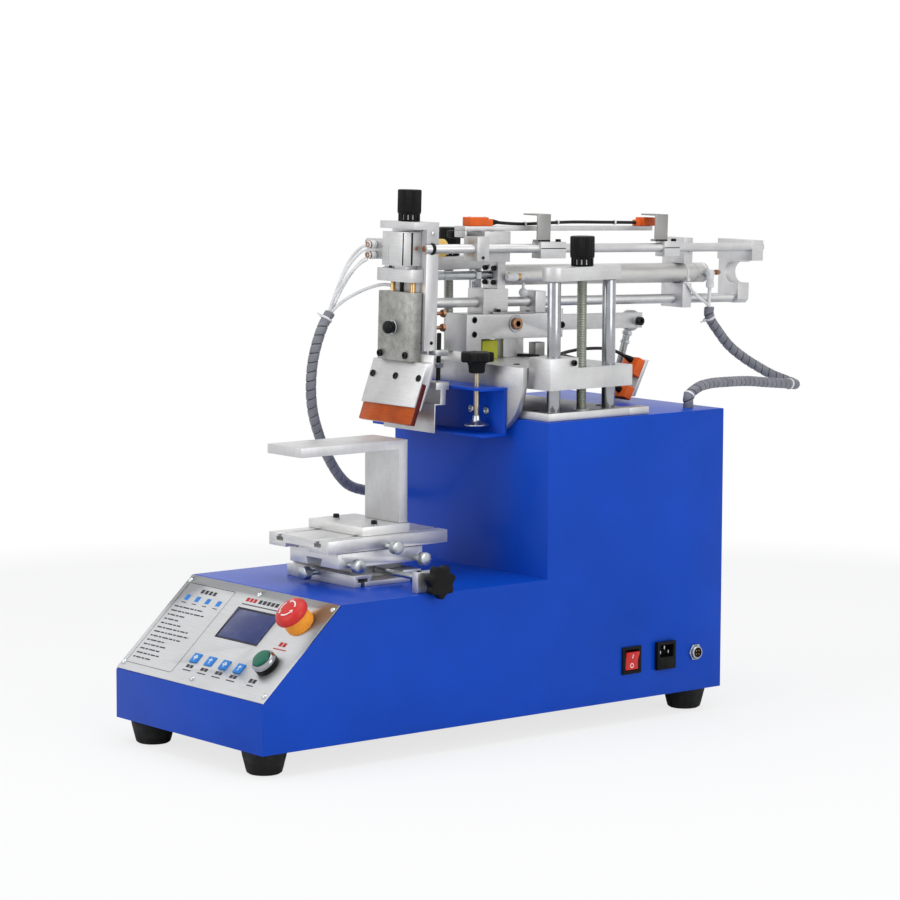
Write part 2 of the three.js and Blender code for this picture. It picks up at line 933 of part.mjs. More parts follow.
const upperTongue = outline([
  [tongueX - tongueHalf, slideTopZ - 0.5],
  [tongueX + tongueHalf, slideTopZ - 0.5],
  [tongueX + tongueHalf, slideTopZ],
  [tongueX + tongueHalf + tongueFlare, tongueTopZ],
  [tongueX - tongueHalf - tongueFlare, tongueTopZ],
  [tongueX - tongueHalf, slideTopZ],
]);
addPiece(
  body,
  "cross_slide",
  cut(
    joined(
      block(slideLeftX, slideRightX, slideFrontY, slideRearY, slideBottomZ, slideTopZ),
      sideProfile(lowerTongue, slideLeftX, slideRightX),
      frontProfile(upperTongue, slideFrontY, slideRearY),
    ),
    roundX(feedScrewRadius + runGap, slideLeftX - 1, slideRightX + 1, tableCentreY, feedScrewZ),
    roundY(crossScrewRadius + runGap, tongueX, slideFrontY - 1, slideRearY + 1, crossScrewZ),
  ),
  greySteel,
);

const feedScrewStartX = slideRightX - feedScrewReach;
const feedHubX = screwBlockRightX + seatGap;
const feedKnob = lobedKnob(feedKnobRadius, feedKnobThickness);
feedKnob.rotateY(Math.PI / 2);
feedKnob.translate(feedKnobStart, tableCentreY, feedScrewZ);
addPiece(
  body,
  "x_feed_knob",
  joined(
    roundX(feedScrewRadius, feedScrewStartX, feedKnobStart + 1, tableCentreY, feedScrewZ),
    roundX(feedHubRadius, feedHubX, feedKnobStart + 1, tableCentreY, feedScrewZ),
    solidOf(feedKnob),
  ),
  blackPlastic,
);

// Saddle: grooved below for the cross slide's tongue, closed behind by the plate that holds its screw
const saddleBottomZ = slideTopZ + seatGap;
const saddleTopZ = saddleBottomZ + saddleHeight;
const saddleRailTopZ = saddleTopZ + railHeight;
const saddleGrooveHalf = tongueHalf + seatGap * 1.5;
const saddleGroove = outline([
  [tongueX - saddleGrooveHalf, saddleBottomZ - 1],
  [tongueX + saddleGrooveHalf, saddleBottomZ - 1],
  [tongueX + saddleGrooveHalf, slideTopZ],
  [tongueX + saddleGrooveHalf + tongueFlare, tongueTopZ + seatGap],
  [tongueX - saddleGrooveHalf - tongueFlare, tongueTopZ + seatGap],
  [tongueX - saddleGrooveHalf, slideTopZ],
]);
const saddleEndY = saddleRearY + saddleEndPlate;
const saddleThumbZ = saddleBottomZ + saddleThumbRise;
const saddleThumbYs = [saddleFrontY + saddleThumbFromFront, saddleRearY - saddleThumbFromRear];

function thumbHoleX(rightX, y, z) {
  const tip = rightX + seatGap + thumbNeckLength - thumbShankLength;
  return roundX(thumbShankRadius + runGap, tip - 0.5, rightX + 1, y, z, 16);
}

function thumbscrewX(rightX, y, z) {
  const neck = rightX + seatGap;
  const head = neck + thumbNeckLength;
  return joined(
    roundX(thumbShankRadius, head - thumbShankLength, neck + 1, y, z, 16),
    roundX(thumbNeckRadius, neck, head + 1, y, z, 16),
    roundX(thumbHeadRadius, head, head + thumbHeadLength, y, z, 20),
  );
}

addPiece(
  body,
  "saddle",
  cut(
    joined(
      cut(
        joined(
          block(saddleLeftX, saddleRightX, saddleFrontY, saddleRearY, saddleBottomZ, saddleTopZ),
          block(railLeftX, railRightX, saddleFrontY, saddleRearY, saddleTopZ - 1, saddleRailTopZ),
        ),
        frontProfile(saddleGroove, saddleFrontY - 1, saddleRearY + 1),
      ),
      block(
        tongueX - saddleEndHalf,
        tongueX + saddleEndHalf,
        saddleRearY - 0.5,
        saddleEndY,
        saddleBottomZ,
        saddleTopZ,
      ),
    ),
    roundY(crossScrewRadius + runGap, tongueX, saddleRearY - 2, saddleEndY + 1, crossScrewZ),
    ...saddleThumbYs.map((y) => thumbHoleX(saddleRightX, y, saddleThumbZ)),
  ),
  milledAluminium,
);

const crossKnobY = saddleEndY + crossHubLength;
const crossKnob = lobedKnob(crossKnobRadius, crossKnobThickness);
crossKnob.rotateX(Math.PI / 2);
crossKnob.translate(tongueX, crossKnobY + crossKnobThickness, crossScrewZ);
addPiece(
  body,
  "y_feed_knob",
  joined(
    roundY(crossScrewRadius, tongueX, tableCentreY + crossScrewFromMiddle, crossKnobY + 1, crossScrewZ),
    roundY(crossHubRadius, tongueX, saddleEndY + seatGap, crossKnobY + 1, crossScrewZ),
    solidOf(crossKnob),
  ),
  blackPlastic,
);

// Slotted table on the saddle's rail
const tableBottomZ = saddleTopZ + tableLift;
const tableTopZ = tableBottomZ + tableThickness;
const tableMiddleX = (tableLeftX + tableRightX) / 2;
const tableThumbZ = tableBottomZ + tableThumbRise;

function tableSlot(x) {
  const front = tableFrontY - 1;
  const rear = tableRearY + 1;
  const half = slotHeadWidth / 2;
  const throat = slotThroatWidth / 2;
  const headTop = tableTopZ - slotThroatDepth;
  return joined(
    block(x - half, x + half, front, rear, headTop - slotHeadHeight, headTop),
    block(x - throat, x + throat, front, rear, headTop - 1, tableTopZ + 1),
  );
}

addPiece(
  body,
  "t_slot_table",
  cut(
    block(tableLeftX, tableRightX, tableFrontY, tableRearY, tableBottomZ, tableTopZ),
    block(
      railLeftX - seatGap,
      railRightX + seatGap,
      tableFrontY - 1,
      tableRearY + 1,
      tableBottomZ - 1,
      saddleRailTopZ + seatGap,
    ),
    tableSlot(tableMiddleX - slotOffset),
    tableSlot(tableMiddleX + slotOffset),
    thumbHoleX(tableRightX, tableCentreY, tableThumbZ),
  ),
  milledAluminium,
);

addPiece(body, "table_thumbscrew", thumbscrewX(tableRightX, tableCentreY, tableThumbZ), zincScrew);
saddleThumbYs.forEach((y, i) => {
  addPiece(body, `saddle_thumbscrew_${i + 1}`, thumbscrewX(saddleRightX, y, saddleThumbZ), zincScrew);
});
const baseThumbNeckY = baseFrontY - seatGap;
const baseThumbHeadY = baseThumbNeckY - thumbNeckLength;
addPiece(
  body,
  "base_thumbscrew",
  joined(
    roundY(thumbShankRadius, thumbBaseX, baseThumbNeckY - 1, baseThumbTipY, thumbBaseZ, 16),
    roundY(thumbNeckRadius, thumbBaseX, baseThumbHeadY - 1, baseThumbNeckY, thumbBaseZ, 16),
    roundY(thumbHeadRadius, thumbBaseX, baseThumbHeadY - thumbHeadLength, baseThumbHeadY, thumbBaseZ, 20),
  ),
  zincScrew,
);

// Work fixture: a base plate and an arm that reaches out over the table
const fixtureBottomZ = tableTopZ + seatGap;
const fixtureTopZ = fixtureBottomZ + fixtureThickness - seatGap;
addPiece(
  body,
  "fixture_base",
  block(fixtureLeftX, fixtureRightX, fixtureFrontY, fixtureRearY, fixtureBottomZ, fixtureTopZ),
  milledAluminium,
);
addPiece(
  body,
  "fixture_arm",
  joined(
    block(
      armLeftX,
      armRightX,
      fixtureRearY - uprightThickness,
      fixtureRearY,
      fixtureTopZ + seatGap,
      armTopZ,
    ),
    block(armLeftX, armRightX, armFrontY, fixtureRearY, armTopZ - armThickness, armTopZ),
  ),
  milledAluminium,
);

// Gantry: a base plate, four shafts and two top bars
const gantryBottomZ = towerTopZ + seatGap;
const gantryTopZ = gantryBottomZ + gantryPlate;
const topBarTopZ = topBarZ + topBarThickness;

function topBar(x) {
  const bar = new THREE.Shape();
  bar.absarc(x, frontShaftY, topBarHalf, Math.PI, 2 * Math.PI);
  bar.absarc(x, rearShaftY, topBarHalf, 0, Math.PI);
  return planProfile(bar, topBarZ, topBarTopZ, 10);
}

function column(x) {
  return joined(
    roundZ(shaftRadius, x, frontShaftY, gantryTopZ - 1, topBarZ + 1),
    roundZ(shaftRadius, x, rearShaftY, gantryTopZ - 1, topBarZ + 1),
    topBar(x),
  );
}

const liftScrewBottomZ = gantryTopZ - screwSeatDepth;
addPiece(
  body,
  "gantry_frame",
  cut(
    joined(
      block(-gantryHalf, gantryHalf, gantryFrontY, gantryRearY, gantryBottomZ, gantryTopZ),
      column(-columnX),
      column(columnX),
    ),
    ...[-columnX, columnX].flatMap((x) => [
      roundZ(liftScrewRadius + 1, x, liftScrewY, liftScrewBottomZ - seatGap, gantryTopZ + 1),
      roundZ(liftScrewRadius + runGap, x, liftScrewY, topBarZ - 1, topBarTopZ + 1),
    ]),
  ),
  steel,
);

["left", "right"].forEach((side, i) => {
  const x = i === 0 ? -columnX : columnX;
  const knobZ = topBarTopZ + seatGap;
  addPiece(
    body,
    `lift_screw_${side}`,
    joined(
      roundZ(liftScrewRadius, x, liftScrewY, liftScrewBottomZ, knobZ + 1),
      castleKnob(x, liftScrewY, knobZ, castleRadius, castleHeight),
    ),
    zincScrew,
  );
});

// Lift plate: bored for the shafts and the screws, with a clamp block at the front right shaft
const liftTopZ = liftPlateZ + liftPlateThickness;
const clampBlockTopZ = liftTopZ + clampBlockHeight;
const boresUp = [-columnX, columnX].flatMap((x) => [
  roundZ(shaftRadius + runGap, x, frontShaftY, liftPlateZ - 1, clampBlockTopZ + 1),
  roundZ(shaftRadius + runGap, x, rearShaftY, liftPlateZ - 1, liftTopZ + 1),
  roundZ(liftScrewRadius + runGap, x, liftScrewY, liftPlateZ - 1, liftTopZ + 1),
]);
addPiece(
  body,
  "lift_plate",
  cut(
    joined(
      block(-gantryHalf, gantryHalf, liftFrontY, liftRearY, liftPlateZ, liftTopZ),
      block(clampBlockLeftX, gantryHalf, liftFrontY, clampBlockRearY, liftTopZ - 1, clampBlockTopZ),
    ),
    ...boresUp,
  ),
  milledAluminium,
);

// Apron: a round-cornered plate hung on the lift plate's front edge
const apronRearY = apronFrontY + apronThickness;
const apronArcX = apronHalf - apronCorner;
const apronArcZ = apronBottomZ + apronCorner;
const apronShape = new THREE.Shape();
apronShape.moveTo(-apronHalf, apronTopZ);
apronShape.lineTo(-apronHalf, apronArcZ);
apronShape.absarc(-apronArcX, apronArcZ, apronCorner, Math.PI, 1.5 * Math.PI);
apronShape.absarc(apronArcX, apronArcZ, apronCorner, 1.5 * Math.PI, 2 * Math.PI);
apronShape.lineTo(apronHalf, apronTopZ);
addPiece(
  body,
  "apron_plate",
  joined(
    frontProfile(apronShape, apronFrontY, apronRearY, 10),
    block(-apronLandHalf, apronLandHalf, apronRearY - 1, liftFrontY - seatGap, liftPlateZ, liftTopZ),
  ),
  milledAluminium,
);

// Screen channel: folded sheet, open to the front, with a clamp screw at each end
const channelRearY = apronFrontY - seatGap;
addPiece(
  body,
  "screen_channel",
  cut(
    block(channelLeftX, channelRightX, channelFrontY, channelRearY, channelBottomZ, channelTopZ),
    block(
      channelLeftX - 1,
      channelRightX + 1,
      channelFrontY - 1,
      channelRearY - channelSheet,
      channelBottomZ + channelSheet,
      channelTopZ - channelSheet,
    ),
    ...[clampLeftX, clampRightX].map((x) =>
      roundZ(clampStemRadius + runGap, x, clampY, channelTopZ - channelSheet - 1, channelTopZ + 1),
    ),
  ),
  bluePaint,
);

["left", "right"].forEach((side, i) => {
  const x = i === 0 ? clampLeftX : clampRightX;
  const knobZ = clampHubZ + clampHubHeight;
  const knob = lobedKnob(clampKnobRadius, clampKnobHeight);
  knob.translate(x, clampY, knobZ);
  addPiece(
    body,
    `screen_clamp_${side}`,
    joined(
      solidOf(knob),
      roundZ(clampHubRadius, x, clampY, clampHubZ, knobZ + 1),
      roundZ(clampStemRadius, x, clampY, clampPadZ + clampPadHeight - 1, clampHubZ + 1),
      roundZ(clampPadRadius, x, clampY, clampPadZ, clampPadZ + clampPadHeight, 24, clampStemRadius + 1.5),
    ),
    blackPlastic,
  );
});

// Pivot upright on the lift plate, with the pin that the print unit turns on
const uprightBottomZ = liftTopZ + seatGap;
const uprightLeftX = pocketLeftX + seatGap + 0.3;
const uprightRightX = pocketRightX - seatGap - 0.3;
const uprightSide = [
  [uprightFrontY, uprightBottomZ],
  [uprightRearY, uprightBottomZ],
  [uprightRearY, uprightShoulderZ],
  [pivotY + lugRadius, pivotZ - lugRadius + 4],
  [pivotY + lugRadius, pivotZ],
  [pivotY - lugRadius, pivotZ],
  [pivotY - lugRadius, pivotZ - lugRadius + 4],
  [uprightFrontY, uprightShoulderZ],
];
addPiece(
  body,
  "pivot_upright",
  joined(
    sideProfile(uprightSide, uprightLeftX, uprightRightX),
    roundX(lugRadius, uprightLeftX, uprightRightX, pivotY, pivotZ),
    roundX(pinRadius, beamLeftX, beamRightX + 1, pivotY, pivotZ),
    roundX(pinHeadRadius, beamRightX + seatGap, beamRightX + seatGap + pinHeadLength, pivotY, pivotZ),
  ),
  milledAluminium,
);

// The print unit's own frame: its front stands up by the rest tilt
const unit = new THREE.Group();
const restTurn = THREE.MathUtils.degToRad(-restTilt);
unit.position.set(0, pivotY, pivotZ);
unit.rotation.x = restTurn;
body.add(unit);
const unitFrame = new THREE.Group();
unitFrame.position.set(0, -pivotY, -pivotZ);
unit.add(unitFrame);

function inMachine(y, z) {
  const dy = y - pivotY;
  const dz = z - pivotZ;
  return [
    pivotY + dy * Math.cos(restTurn) - dz * Math.sin(restTurn),
    pivotZ + dy * Math.sin(restTurn) + dz * Math.cos(restTurn),
  ];
}

// Rocker beam: a block in front, a pocket for the upright, and an arm behind with the link pin
const linkRingX = unitX;
const linkPinLeftX = linkRingX - ringThickness / 2 - 3;
addPiece(
  unitFrame,
  "rocker_beam",
  cut(
    joined(
      block(beamLeftX, beamRightX, beamFrontY, beamBlockRearY, beamBlockBottomZ, beamBlockTopZ),
      block(beamLeftX, beamRightX, beamFrontY, beamRearY - endPlateThickness, beamBottomZ, beamTopZ),
      block(beamLeftX, beamRightX, beamRearY - endPlateThickness - 1, beamRearY, beamBottomZ, beamWebTopZ),
      block(armOutLeftX, armOutRightX, beamRearY - 1, armOutRearY, armOutBottomZ, armOutTopZ),
      roundX(linkPinRadius, linkPinLeftX, armOutRightX - 1, linkY, linkZ),
    ),
    block(pocketLeftX, pocketRightX, pocketFrontY, pocketRearY, beamBottomZ - 1, beamTopZ - pocketRoof),
    roundX(pinRadius + runGap, beamLeftX - 1, beamRightX + 1, pivotY, pivotZ),
  ),
  milledAluminium,
);

// Front frame: rod bearing, cylinder flange and upper block with the upper rod's guide
const seatOnBeamZ = beamTopZ + seatGap;
const cylinderFrontY = flangeRearY + seatGap;
const flangeLeftX = unitX - flangeHalf;
const guideBottomZ = upperRodZ - guideHalfHeight;
const guideTopZ = upperRodZ + guideHalfHeight;
addPiece(
  unitFrame,
  "front_frame",
  cut(
    joined(
      block(bearingLeftX, bearingRightX, bearingFrontY, bearingRearY, seatOnBeamZ, bearingTopZ),
      block(
        flangeLeftX,
        unitX + flangeHalf,
        flangeFrontY,
        flangeRearY,
        bearingTopZ - 1,
        upperBlockBottomZ + 1,
      ),
      block(
        flangeLeftX,
        upperBlockRightX,
        upperBlockFrontY,
        flangeRearY,
        upperBlockBottomZ,
        upperBlockTopZ,
      ),
      block(guideWebLeftX, guideLeftX + 1, guideFrontY, upperBlockFrontY + 1, guideBottomZ, guideTopZ),
      block(guideLeftX, guideRightX, guideFrontY, guideRearY, guideBottomZ, guideTopZ),
    ),
    roundY(lowerRodRadius + runGap, unitX, bearingFrontY - 1, bearingRearY + 1, lowerRodZ),
    roundY(pistonRadius + pistonRoom, unitX, flangeFrontY - 1, flangeRearY + 1, cylinderZ),
    roundY(upperRodRadius + runGap, upperRodX, guideFrontY - 1, flangeRearY + 1, upperRodZ),
  ),
  milledAluminium,
);

addPiece(
  unitFrame,
  "rear_bearing",
  cut(
    block(bearingLeftX, bearingRightX, rearBearingFrontY, rearBearingRearY, seatOnBeamZ, rearBearingTopZ),
    roundY(lowerRodRadius + runGap, unitX, rearBearingFrontY - 1, rearBearingRearY + 1, lowerRodZ),
  ),
  milledAluminium,
);

addPiece(
  unitFrame,
  "rear_frame",
  cut(
    block(rearFrameLeftX, rearFrameRightX, rearFrameFrontY, rearFrameRearY, rearFrameBottomZ, rearFrameTopZ),
    roundY(cylinderRadius + seatGap, unitX, rearFrameFrontY - 1, rearFrameRearY + 1, cylinderZ, 32),
    roundY(lowerRodRadius + runGap, unitX, rearFrameFrontY - 1, rearFrameRearY + 1, lowerRodZ),
    roundY(upperRodRadius + runGap, upperRodX, rearFrameFrontY - 1, rearFrameRearY + 1, upperRodZ),
  ),
  milledAluminium,
);

// Print cylinder: barrel, rear cap and the elbow that its hose comes from
const elbowY = cylinderRearY - elbowFromRear;
const boreEndY = cylinderFrontY + pistonInside + pistonBoreSpare;
addPiece(
  unitFrame,
  "print_cylinder",
  cut(
    joined(
      roundY(cylinderRadius, unitX, cylinderFrontY, cylinderRearY - cylinderCapLength + 1, cylinderZ, 32),
      roundY(cylinderCapRadius, unitX, cylinderRearY - cylinderCapLength, cylinderRearY, cylinderZ, 32),
      roundX(elbowRadius, unitX, elbowX + elbowRadius, elbowY, cylinderZ, 16),
      roundZ(elbowRadius, elbowX, elbowY, elbowBottomZ, cylinderZ, 16),
    ),
    roundY(pistonRadius + pistonRoom, unitX, cylinderFrontY - 1, boreEndY, cylinderZ),
  ),
  milledAluminium,
);

const railBottomZ = upperBlockTopZ + seatGap;
addPiece(
  unitFrame,
  "sensor_rail",
  block(
    sensorRailLeftX,
    sensorRailRightX,
    railFrontY,
    railRearY,
    railBottomZ,
    railBottomZ + sensorRailThickness,
  ),
  milledAluminium,
);

// Head: an upright plate with a cap, and a lug behind for the flood bar's stop screw
const headCapTopZ = headTopZ + headCapThickness;
const lugTopZ = lugBottomZ + lugThickness;
const floodBoreTopZ = floodPinTopZ + floodTravel + 1;
const floodPinXs = [floodPinLeftX, floodPinRightX];
addPiece(
  unitFrame,
  "head_plate",
  cut(
    joined(
      block(headLeftX, headRightX, headFrontY, headRearY, headBottomZ, headCapTopZ),
      block(headLeftX, headRightX, headCapFrontY, headRearY, headTopZ, headCapTopZ),
      block(stopScrewX - lugHalf, stopScrewX + lugHalf, lugFrontY, lugRearY, lugBottomZ, lugTopZ),
    ),
    roundY(upperRodRadius + seatGap, upperRodX, headFrontY - 1, headRearY + 1, upperRodZ),
    roundZ(headKnobShankRadius + runGap, unitX, headKnobY, headTopZ - 1, headCapTopZ + 1, 16),
    roundZ(stopScrewRadius + runGap, stopScrewX, stopScrewY, lugBottomZ - 1, lugTopZ + 1, 16),
    ...floodPinXs.map((x) =>
      roundZ(floodPinRadius + runGap, x, floodPinY, headBottomZ - 1, floodBoreTopZ, 16),
    ),
  ),
  milledAluminium,
);

// Carriage frame: two rods and the crossbar that ties them behind the cylinder
const crossbarShape = outline([
  [crossbarLeftX, crossbarStepZ],
  [crossbarLowerLeftX, crossbarStepZ],
  [crossbarLowerLeftX, crossbarBottomZ],
  [crossbarLowerRightX - crossbarChamfer, crossbarBottomZ],
  [crossbarLowerRightX, crossbarBottomZ + crossbarChamfer],
  [crossbarLowerRightX, cylinderZ],
  [crossbarLowerRightX, crossbarStepZ],
  [crossbarRightX, crossbarStepZ],
  [crossbarRightX, crossbarTopZ],
  [crossbarLeftX, crossbarTopZ],
]);
const notchRadius = cylinderRadius + crossbarRoom;

function rodClamp(front, rear, below) {
  const left = upperRodX - clampRingHalf;
  const right = upperRodX + clampRingHalf;
  return block(left, right, front, rear, upperRodZ - below, upperRodZ + clampAbove);
}

addPiece(
  unitFrame,
  "carriage_frame",
  joined(
    cut(
      frontProfile(crossbarShape, crossbarFrontY, crossbarRearY),
      roundY(notchRadius, unitX, crossbarFrontY - 1, crossbarRearY + 1, cylinderZ, 32),
      block(
        unitX,
        crossbarRightX + 1,
        crossbarFrontY - 1,
        crossbarRearY + 1,
        cylinderZ - notchRadius,
        cylinderZ + notchRadius,
      ),
    ),
    roundY(lowerRodRadius, unitX, headRearY + seatGap, crossbarFrontY + 1, lowerRodZ),
    roundY(upperRodRadius, upperRodX, headFrontY - upperRodProud, crossbarRearY + upperRodPast, upperRodZ),
    rodClamp(midClampFrontY, midClampRearY, midClampBelow),
    rodClamp(farClampFrontY, farClampRearY, farClampBelow),
  ),
  steel,
);

addPiece(
  unitFrame,
  "piston_rod",
  joined(
    roundY(pistonRadius, unitX, couplerRearY - 1, cylinderFrontY + pistonInside, cylinderZ),
    roundY(couplerRadius, unitX, headRearY + seatGap, couplerRearY, cylinderZ),
    roundY(pistonNutRadius, unitX, couplerRearY, couplerRearY + pistonNutLength, cylinderZ, 6),
  ),
  steel,
);

// Squeegee cylinder on the head's front, with its valve block and its lower plate
const headSeatY = headFrontY - seatGap;
const crossPlateTopZ = crossPlateBottomZ + crossPlateThickness;
const guidePinXs = [guidePinLeftX, guidePinRightX];
addPiece(
  unitFrame,
  "squeegee_cylinder",
  cut(
    joined(
      block(compactLeftX, compactRightX, compactFrontY, headSeatY, compactBottomZ, compactTopZ),
      block(manifoldLeftX, compactLeftX + 1, manifoldFrontY, manifoldRearY, manifoldBottomZ, manifoldTopZ),
      block(neckLeftX, neckRightX, neckFrontY, headSeatY, crossPlateBottomZ + 1, compactBottomZ + 1),
      block(
        crossPlateLeftX,
        crossPlateRightX,
        crossPlateFrontY,
        headSeatY,
        crossPlateBottomZ,
        crossPlateTopZ,
      ),
    ),
    ...guidePinXs.map((x) =>
      roundZ(guidePinRadius + runGap, x, guidePinY, crossPlateBottomZ - 1, crossPlateTopZ + 1, 16),
    ),
  ),
  milledAluminium,
);

addPiece(
  unitFrame,
  "squeegee_slide",
  joined(
    block(
      slideBlockLeftX,
      slideBlockRightX,
      slideBlockFrontY,
      slideBlockRearY,
      slideBlockBottomZ,
      slideBlockTopZ,
    ),
    ...guidePinXs.map((x) => roundZ(guidePinRadius, x, guidePinY, slideBlockTopZ - 1, guidePinTopZ, 16)),
  ),
  mottledAluminium,
);

// Squeegee: a point is a distance down the plate and a depth behind its face
const leanAngle = THREE.MathUtils.degToRad(squeegeeLean);
function onSqueegee(down, behind) {
  return [
    squeegeeTopY - down * Math.sin(leanAngle) + behind * Math.cos(leanAngle),
    squeegeeTopZ - down * Math.cos(leanAngle) - behind * Math.sin(leanAngle),
  ];
}
const bladeFront = squeegeeFrontPlate + seatGap;
const bladeRear = bladeFront + bladeThickness;
const backPlateFront = bladeRear + seatGap;
const backPlateRear = backPlateFront + backPlateThickness;
const backPlateEnd = squeegeePlateLength + 1;
const clampTopZ = slideBlockBottomZ - seatGap;
const clampOutline = [
  [squeegeeTopY + (clampTopZ - squeegeeTopZ) * Math.tan(leanAngle), clampTopZ],
  onSqueegee(squeegeePlateLength, 0),
  onSqueegee(squeegeePlateLength, squeegeeFrontPlate),
  onSqueegee(bladeTop, squeegeeFrontPlate),
  onSqueegee(bladeTop, backPlateFront),
  onSqueegee(backPlateEnd, backPlateFront),
  onSqueegee(backPlateEnd, backPlateRear),
  onSqueegee(backPlateTop, backPlateRear + backPlateWedge),
  [holderRearY, holderStepZ],
  [holderRearY, holderTopZ],
  [slideBlockRearY + seatGap, holderTopZ],
  [slideBlockRearY + seatGap, clampTopZ],
];
addPiece(
  unitFrame,
  "squeegee_clamp",
  sideProfile(clampOutline, squeegeeLeftX, squeegeeRightX),
  milledAluminium,
);
const bladeOutline = [
  onSqueegee(bladeTop + seatGap, bladeFront),
  onSqueegee(bladeBottom, bladeFront),
  onSqueegee(bladeBottom, bladeRear),
  onSqueegee(bladeTop + seatGap, bladeRear),
];
addPiece(
  unitFrame,
  "squeegee_blade",
  sideProfile(bladeOutline, squeegeeLeftX + bladeInset, squeegeeRightX - bladeInset),
  polyurethane,
);

// Flood bar: a bent blade under a stepped holder, on two guide pins and a stop screw
const floodBladeRearY = floodBladeY + floodBladeSheet;
const floodOutline = [
  [floodBladeY, floodBladeBottomZ],
  [floodBladeRearY, floodBladeBottomZ],
  [floodBladeRearY, floodBladeTopZ - floodBladeSheet],
  [floodHolderRearY, floodBladeTopZ - floodBladeSheet],
  [floodHolderRearY, floodStepZ],
  [floodStepRearY, floodStepZ],
  [floodStepRearY, floodHolderTopZ],
  [floodUpperFrontY, floodHolderTopZ],
  [floodUpperFrontY, floodStepZ],
  [floodHolderFrontY, floodStepZ],
  [floodHolderFrontY, floodBladeTopZ],
  [floodBladeY, floodBladeTopZ],
];
addPiece(
  unitFrame,
  "flood_bar",
  joined(
    sideProfile(floodOutline, floodLeftX, floodRightX),
    roundZ(stopScrewRadius, stopScrewX, stopScrewY, floodHolderTopZ - 1, stopScrewTopZ, 16),
    ...floodPinXs.map((x) => roundZ(floodPinRadius, x, floodPinY, floodHolderTopZ - 1, floodPinTopZ, 16)),
  ),
  milledAluminium,
);

const headKnobZ = headCapTopZ + seatGap;
addPiece(
  unitFrame,
  "head_knob",
  joined(
    castleKnob(unitX, headKnobY, headKnobZ, headKnobRadius, headKnobHeight),
    roundZ(headKnobShankRadius, unitX, headKnobY, headTopZ + runGap, headKnobZ + 1, 16),
  ),
  blackPlastic,
);

// Tilt actuator: a short cylinder on trunnions behind the lift plate, and its rod with a ring end
const [ringY, ringZ] = inMachine(linkY, linkZ);
const actuator = new THREE.Group();
actuator.position.set(unitX, ringY, ringZ);
body.add(actuator);
const actuatorTurn = THREE.MathUtils.degToRad(actuatorLean);
const trunnionY = ringY - trunnionAt * Math.sin(actuatorTurn);
const trunnionZ = ringZ - trunnionAt * Math.cos(actuatorTurn);
const bracketInnerLeftX = unitX - actuatorRadius - bracketRoom;
const bracketInnerRightX = unitX + actuatorRadius + bracketRoom;
const bracketLeftX = bracketInnerLeftX - bracketArm;
const bracketRightX = bracketInnerRightX + bracketArm;
const trunnionRightX = bracketRightX - trunnionShort;

actuator.rotation.x = -actuatorTurn;
addPiece(
  actuator,
  "actuator_body",
  cut(
    joined(
      roundZ(actuatorRadius, 0, 0, -actuatorBottom, -actuatorTop),
      roundX(trunnionRadius, -actuatorRadius - bracketArm, trunnionRightX - unitX, 0, -trunnionAt, 16),
    ),
    roundZ(actuatorRodRadius + runGap, 0, 0, -actuatorBottom + actuatorFloor, -actuatorTop + 1),
  ),
  milledAluminium,
);
addPiece(
  actuator,
  "actuator_rod",
  cut(
    joined(
      roundX(ringRadius, -ringThickness / 2, ringThickness / 2, 0, 0, 32),
      roundZ(actuatorRodRadius, 0, 0, -actuatorRodEnd, -ringRadius + 2),
    ),
    roundX(linkPinRadius + ringPlay, -ringThickness, ringThickness, 0, 0),
  ),
  steel,
);

function leaningPlate() {
  const lean = THREE.MathUtils.degToRad(sensorPlateLean);
  const across = sensorPlateThickness / Math.cos(lean);
  const bottomY = sensorPlateTopY - (sensorPlateTopZ - sensorPlateBottomZ) * Math.tan(lean);
  const points = [
    [bottomY, sensorPlateBottomZ],
    [bottomY + across, sensorPlateBottomZ],
    [sensorPlateTopY + across, sensorPlateTopZ],
    [sensorPlateTopY, sensorPlateTopZ],
  ];
  return sideProfile(points, trunnionRightX + seatGap, sensorPlateRightX);
}

const bracketBackY = liftRearY + seatGap;
addPiece(
  body,
  "actuator_bracket",
  cut(
    joined(
      block(
        bracketLeftX,
        bracketRightX,
        bracketBackY,
        bracketBackY + bracketArm,
        bracketBottomZ,
        bracketTopZ,
      ),
      block(bracketLeftX, bracketInnerLeftX, bracketBackY, bracketRearY, bracketBottomZ, bracketArmTopZ),
      block(bracketInnerRightX, bracketRightX, bracketBackY, bracketRearY, bracketBottomZ, bracketArmTopZ),
      leaningPlate(),
    ),
    roundX(trunnionRadius + runGap, bracketLeftX - 1, trunnionRightX + seatGap, trunnionY, trunnionZ, 16),
  ),
  milledAluminium,
);

